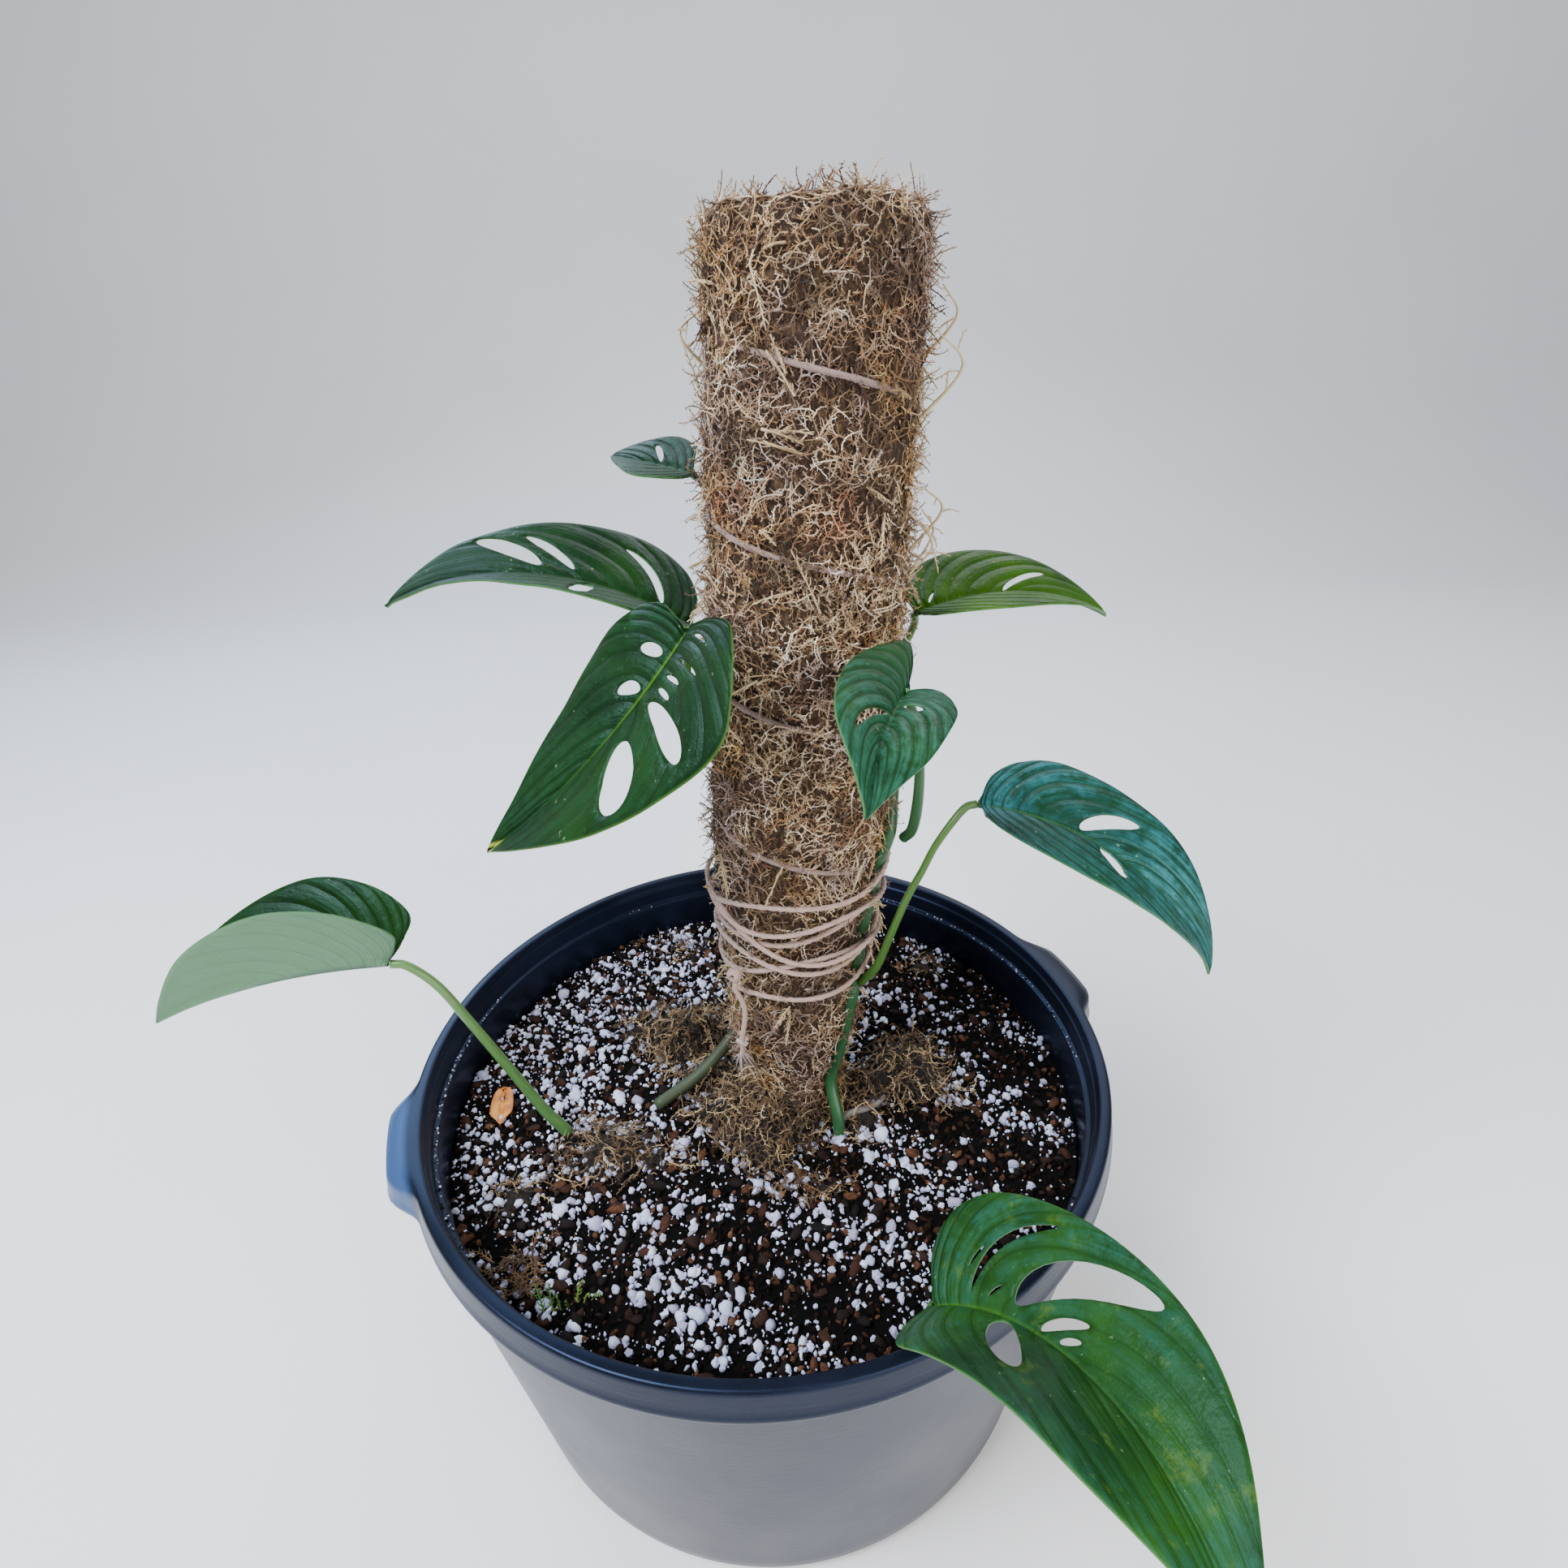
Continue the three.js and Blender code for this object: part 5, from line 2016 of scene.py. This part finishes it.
LEAVES = (
    Leaf(
        "leaf_upper_left", (-20.6, 21.2, 418.2), 136, 183, 35, 61, 0, -22, -12, 0.2,
        Side(0.22, 0.3, -0.02, 0.87, 33), Side(0.27, 0.26, -0.02, 0.95, 7),
        (Hole(-1, 0.76, 0.57, 0.02, 0.38, 0.02), Hole(-1, 0.705, 0.48, 0.012, 0.31, 0.04),
         Hole(-1, 0.52, 0.42, 0.02, 0.32, 0.22), Hole(1, 0.63, 0.57, 0.015, 0.36, -0.05)),
        Blade("leaf_skin_upper_left"), 13.0,
    ),
    Leaf(
        "leaf_large_left", (-17.1, -30.3, 432.5), 127, 195, -52, -17, -17, -12, -13, 0.65,
        Side(0.44, 0.2, 0.1, 0.92, 12), Side(0.29, 0.23, 0.01, 0.9, 29),
        (Hole(-1, 0.47, 0.245, 0.03, 0.15, 0.2), Hole(-1, 0.60, 0.18, 0.02, 0.13, 0.15),
         Hole(1, 0.335, 0.415, 0.01, 0.12, 0.18), Hole(1, 0.45, 0.375, 0.008, 0.16, 0.1),
         Hole(1, 0.51, 0.285, 0.008, 0.11, 0.05), Hole(1, 0.556, 0.29, 0.008, 0.11, 0.05),
         Hole(1, 0.60, 0.535, 0.018, 0.33, 0.02), Hole(1, 0.69, 0.60, 0.03, 0.31, 0.02)),
        Blade("leaf_skin_large_left", tip_brown=True, rib=linear(84, 128, 16), panel=linear(18, 60, 26)),
        13.0,
    ),
    Leaf(
        "leaf_small_top_left", (-14.5, 25.5, 481), 56, 145, 9, 11, -18, -14, -4, 0.17,
        Side(0.32, 0.32, 0.01, 0.81, 14), Side(0.3, 0.41, -0.12, 0.88, 21),
        (Hole(-1, 0.67, 0.425, 0.02, 0.32, 0.03),),
        Blade("leaf_skin_small_top_left", veins=10.0), veins=10.0, wave=0.5, quilt=0.35,
    ),
    Leaf(
        "leaf_upper_right", (76, 15, 422.5), 101, 17, 13, 45, -1, 7, 10, 0.15,
        Side(0.3, 0.34, -0.02, 1.02, 18), Side(0.27, 0.38, -0.03, 1, 17),
        (Hole(1, 0.425, 0.185, 0.012, 0.09, 0.4), Hole(1, 0.745, 0.385, 0.015, 0.35, 0.08)),
        Blade(
            "leaf_skin_upper_right", linear(22, 56, 1), linear(44, 94, 12), linear(62, 108, 2),
            gloss=linear(190, 205, 150), veins=12.0,
        ),
        12.0, quilt=0.8,
    ),
    Leaf(
        "leaf_heart_right", (62.6, -54.3, 413.1), 70, 247, 0, 28, 11, -24, -13, 0.58,
        Side(0.33, 0.2, 0.05, 1.04, 31), Side(0.37, 0.32, 0.43, 1.15, 29),
        (Hole(-1, 0.69, 0.365, 0.02, 0.33, 0.18), Hole(1, 0.56, 0.27, 0.022, 0.17, 0.12)),
        Blade(
            "leaf_skin_heart_right", linear(16, 48, 16), linear(46, 104, 84), linear(28, 70, 20), wax=0.4,
        ),
        13.0, wave=0.6, quilt=0.75,
    ),
    Leaf(
        "leaf_right", (100, -22, 348.5), 126, -25, 1, 70, -3, 7, 5, 0.33,
        Side(0.26, 0.25, -0.02, 1.05, 18), Side(0.21, 0.43, -0.06, 0.87, 14),
        (Hole(1, 0.68, 0.38, 0.02, 0.32, 0.06), Hole(-1, 0.685, 0.405, 0.02, 0.26, -0.05)),
        Blade(
            "leaf_skin_right", linear(7, 38, 8), linear(46, 116, 122), linear(14, 54, 12),
            gloss=linear(140, 214, 232), wax=0.65,
        ),
        13.0,
    ),
    Leaf(
        "leaf_left_edge", (-166.4, -30, 282), 125, 178, -4, 25, 0, 0, 0, 0,
        Side(0.34, 0.3, 0.08, 0.95, 72), Side(0.34, 0.3, 0.08, 0.95, 55), (),
        Blade("leaf_skin_left_edge", under=linear(84, 122, 88)), 13.0,
    ),
    Leaf(
        "leaf_front_right", (66.5, -146, 200), 149, -40, 48, 78, -44, 9, -17, 0,
        Side(0.27, 0.25, -0.01, 1.11, 33), Side(0.27, 0.42, -0.01, 1.11, 25),
        (Hole(1, 0.505, 0.43, 0.008, 0.09, 0.25), Hole(1, 0.55, 0.49, 0.012, 0.36, 0.18),
         Hole(1, 0.565, 0.17, 0.006, 0.06, 0.3), Hole(1, 0.66, 0.51, 0.03, 0.39, 0.1),
         Hole(1, 0.695, 0.185, 0.012, 0.15, 0.12), Hole(1, 0.72, 0.11, 0.008, 0.07, 0.1),
         Hole(-1, 0.62, 0.355, 0.035, 0.28, 0.05)),
        Blade(
            "leaf_skin_front_right", linear(14, 48, 14), linear(40, 94, 74), linear(38, 82, 10),
            veins=12.0, blotch=0.35,
        ),
        12.0,
    ),
    Leaf(
        "dry_leaf", (-143, 5.5, 165.6), 24, -81, 0, 0, 0, 0, 0, 1.0,
        Side(0.27, 0.55, -0.02, 1.2, 22), Side(0.27, 0.55, -0.02, 1.2, 22), (),
        Paper(), 7.0, 0.5, 0.3, 0.15, 40, 10, "dry_leaf",
    ),
)


# ---------------------------------------------------------------- small things on the soil

# patches of golden fronds: count, seed, limits in X and in Y, reach in X, Y and Z, and arch
GOLDEN_PATCHES = (
    (26, 230, (-122, -94), (-114, -94), (13, 11, 5), 3.5),
    (16, 270, (2, 30), (-72, -60), (11, 8, 4), 3),
)
# strands that loop out of the moss: angle, height, reach and rise
LOOSE_ENDS = (
    (-8, 452, 12, 26), (-4, 440, 10, 30), (-14, 500, 14, 30), (-2, 520, 12, 24),
    (-18, 470, 9, -22), (170, 520, 8, 20), (100, 500, 9, 24), (60, 430, 9, 22),
)


@dataclass
class Litter:
    """Sprigs, fronds and scraps that lie on the soil and in the moss."""

    def frond(self, seed: int, foot: Point, tip: Point, arch: float, radius: float, hairs: int) -> Shape:
        """A feathery moss frond that arches from one point to another.

        Args:
            seed: picks its hairs.
            foot: where it starts.
            tip: where it ends.
            arch: how far its middle rises.
            radius: its thickness at the foot.
            hairs: how many side hairs it has.

        Returns:
            The frond.
        """
        rng = np.random.default_rng(seed)
        foot_at, tip_at = np.array(foot, float), np.array(tip, float)
        middle = (foot_at + tip_at) / 2 + (0, 0, arch)
        path = along(np.array([foot_at, middle, tip_at]), 24)
        length = float(np.linalg.norm(np.diff(path, axis=0), axis=1).sum())
        shape = sweep(path, np.linspace(radius, radius * 0.4, len(path)), 4)
        for k in range(hairs):
            place = 2 + int((k / hairs) * (len(path) - 4))
            ahead = path[place + 1] - path[place]
            ahead /= np.linalg.norm(ahead)
            away = np.cross(ahead, (0, 0, 1)) * (1 if k % 2 else -1) + rng.normal(0, 0.25, 3)
            reach = length * 0.2 * (1 - 0.55 * k / hairs) * rng.uniform(0.8, 1.2)
            bend = path[place] + reach * (0.55 * away + 0.3 * ahead)
            end = bend + reach * (0.35 * away + 0.55 * ahead)
            line = np.array([path[place], bend, end])
            shape = shape.joined(sweep(line, np.array([0.75, 0.6, 0.25]) * radius, 3))
        return shape

    def group(self, name: str, fronds: Sequence[Shape], finish: Grain, slot: str, node: str) -> None:
        """Joins fronds into one piece.

        Args:
            name: the piece's name.
            fronds: the fronds.
            finish: their finish.
            slot: the record's material slot.
            node: the CAD node that it stands for.
        """
        whole = gathered(fronds)
        whole.uv = None
        whole.marks = {"tint": 0.5 + 0.35 * ripple(whole.points, 0.05, len(name))}
        settle(whole.build(name), slot, finish.material(), node)

    def build(self) -> None:
        """Makes every scrap."""
        rng = np.random.default_rng(7)
        live = []
        for k in range(7):
            tip = (-98 + 5 * k, -115 + rng.uniform(-6, 8), 168 + rng.uniform(0, 4))
            live.append(self.frond(200 + k, (-92 + 3 * k, -122 + 1.2 * k, 163), tip, 3, 0.5, 12))
        self.group("live_moss_sprig", live, LIVE_MOSS, "soil", "potting_soil")
        golden = []
        for count, seed, across, deep, (wide, long, high), arch in GOLDEN_PATCHES:
            for k in range(count):
                x, y = rng.uniform(*across), rng.uniform(*deep)
                turn = rng.uniform(0, 2 * np.pi)
                end = (x + wide * math.cos(turn), y + long * math.sin(turn), 166.5 + rng.uniform(0, high))
                golden.append(self.frond(seed + k, (x, y, SOIL_TOP), end, arch, 0.42, 12))
        self.group("golden_fronds", golden, GOLD_MOSS, "moss", "potting_soil")
        pale = []
        for k in range(96):
            angle, z = rng.uniform(-205, 25), rng.uniform(240, 556)
            foot = on_pole(angle, z, -0.5)
            swing, climb = rng.uniform(-26, 26), rng.uniform(-24, 26)
            end = on_pole(angle + swing, min(z + climb, 566), rng.uniform(1.5, 9))
            pale.append(self.frond(300 + k, foot, end, 0.5, rng.uniform(0.4, 0.6), 14))
        self.group("stray_fronds", pale, STRAW_MOSS, "moss", "moss_wrap")
        loops = []
        for k, (angle, z, out, rise) in enumerate(LOOSE_ENDS):
            foot = on_pole(angle, z, -1)
            middle = on_pole(angle + 6, z + rise * 0.6, out)
            end = on_pole(angle - 10, z + rise, out * 0.4)
            path = along(np.array([foot, middle, end]), 22)
            loops.append(sweep(path, np.linspace(0.7, 0.3, 22), 4))
            for j in range(4):
                start = path[3 + 4 * j]
                tip = start + rng.normal(0, 5, 3)
                loops.append(self.frond(360 + 5 * k + j, tuple(start), tuple(tip), 1, 0.35, 8))
        self.group("stray_loops", loops, STRAW_MOSS, "moss", "moss_wrap")
        strip = [(39, -28, 169), (46, -25, 171), (55, -22, 170.5), (61, -18, 170.5), (64, -13, 169)]
        twig = sweep(along(np.array(strip), 30), np.linspace(2.0, 1.1, 30), 8)
        skin = Skin("dry_twig", linear(96, 88, 84), linear(132, 124, 118), linear(60, 52, 48), 0.7)
        settle(twig.build("dry_twig"), "soil", skin.material(), "moss_tuft_right")


# ---------------------------------------------------------------- studio


@dataclass
class Studio:
    """The camera, the lights and the pale sweep that the plant stands on."""

    eye: Point = (0.01715, -0.3542, 0.53075)
    down: float = 27.0
    turn: float = 2.17
    lens: float = 20.27

    def camera(self) -> None:
        """Sets the camera."""
        pitch, turn = math.radians(self.down), math.radians(self.turn)
        ahead = Vector((0, math.cos(pitch), -math.sin(pitch)))
        right = Vector((1, 0, 0))
        under = ahead.cross(right)
        across = math.cos(turn) * right + math.sin(turn) * under
        below = -math.sin(turn) * right + math.cos(turn) * under
        facing = Matrix((across, -below, -ahead)).transposed().to_4x4()
        data = bpy.data.cameras.new("view")
        data.lens, data.sensor_width, data.clip_start = self.lens, 36.0, 0.01
        made = bpy.data.objects.new("view", data)
        made.matrix_world = Matrix.Translation(self.eye) @ facing
        bpy.context.scene.collection.objects.link(made)
        bpy.context.scene.camera = made

    def lamp(self, name: str, place: Point, target: Point, size: float, power: float, colour: Colour) -> None:
        """One soft square light aimed at a point.

        Args:
            name: its name.
            place: where it is.
            target: the point that it lights.
            size: its side.
            power: its power in watts.
            colour: its colour.
        """
        data = bpy.data.lights.new(name, "AREA")
        data.size, data.energy, data.color = size, power, colour
        made = bpy.data.objects.new(name, data)
        made.location = place
        made.rotation_mode = "QUATERNION"
        made.rotation_quaternion = (Vector(target) - Vector(place)).to_track_quat("-Z", "Y")
        bpy.context.scene.collection.objects.link(made)

    def sweep(self) -> None:
        """The floor, which curves up behind."""
        reach, bend = 3.2, 1.2
        line = [(-2.5, 0.0), (1.6, 0.0)]
        arc = np.linspace(0.08, np.pi / 2, 24)
        line += [(1.6 + bend * math.sin(a), bend - bend * math.cos(a)) for a in arc]
        line += [(1.6 + bend, 3.6)]
        points = np.array([(x, y, z) for y, z in line for x in (-reach, reach)]) / MM
        faces = [(2 * k, 2 * k + 1, 2 * k + 3, 2 * k + 2) for k in range(len(line) - 1)]
        floor = Shape(points, faces).build("floor")
        floor.data.materials.append(Paint().material())

    def build(self) -> None:
        """Sets the whole studio."""
        self.camera()
        self.sweep()
        self.lamp("key", (-0.9, -0.7, 1.7), (0, 0, 0.3), 0.9, 62, (0.9, 0.93, 1.0))
        self.lamp("fill", (1.0, -1.3, 0.8), (0, 0, 0.22), 1.2, 30, (1.0, 0.95, 0.88))
        self.lamp("window", (-0.95, 1.2, 1.5), (-0.1, 0, 0.2), 0.9, 19, (0.55, 0.75, 1.0))
        self.lamp("back", (0.5, 1.5, 1.8), (0, 0, 0.4), 1.4, 16, (0.9, 0.94, 1.0))
        world = bpy.data.worlds.new("pale_room")
        world.use_nodes = True
        background = world.node_tree.nodes["Background"]
        background.inputs[0].default_value = (0.82, 0.86, 0.95, 1.0)
        background.inputs[1].default_value = 0.5
        bpy.context.scene.world = world


# ---------------------------------------------------------------- build


def main() -> None:
    """Builds everything in order and reports it."""
    logging.basicConfig(level=logging.INFO, format="%(message)s")
    Studio().build()
    twine = Twine()
    twine.tail()
    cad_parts["pole_core"].data.materials.clear()
    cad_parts["pole_core"].data.materials.append(Coir().material())
    Pot().build()
    Soil().build()
    MossPole().build()
    for number, tuft in enumerate(TUFTS):
        tuft.build(number)
    twine.build()
    for stem in STEMS:
        stem.build()
    for leaf in LEAVES:
        leaf.build()
    Litter().build()


if __name__ == "__main__":
    main()
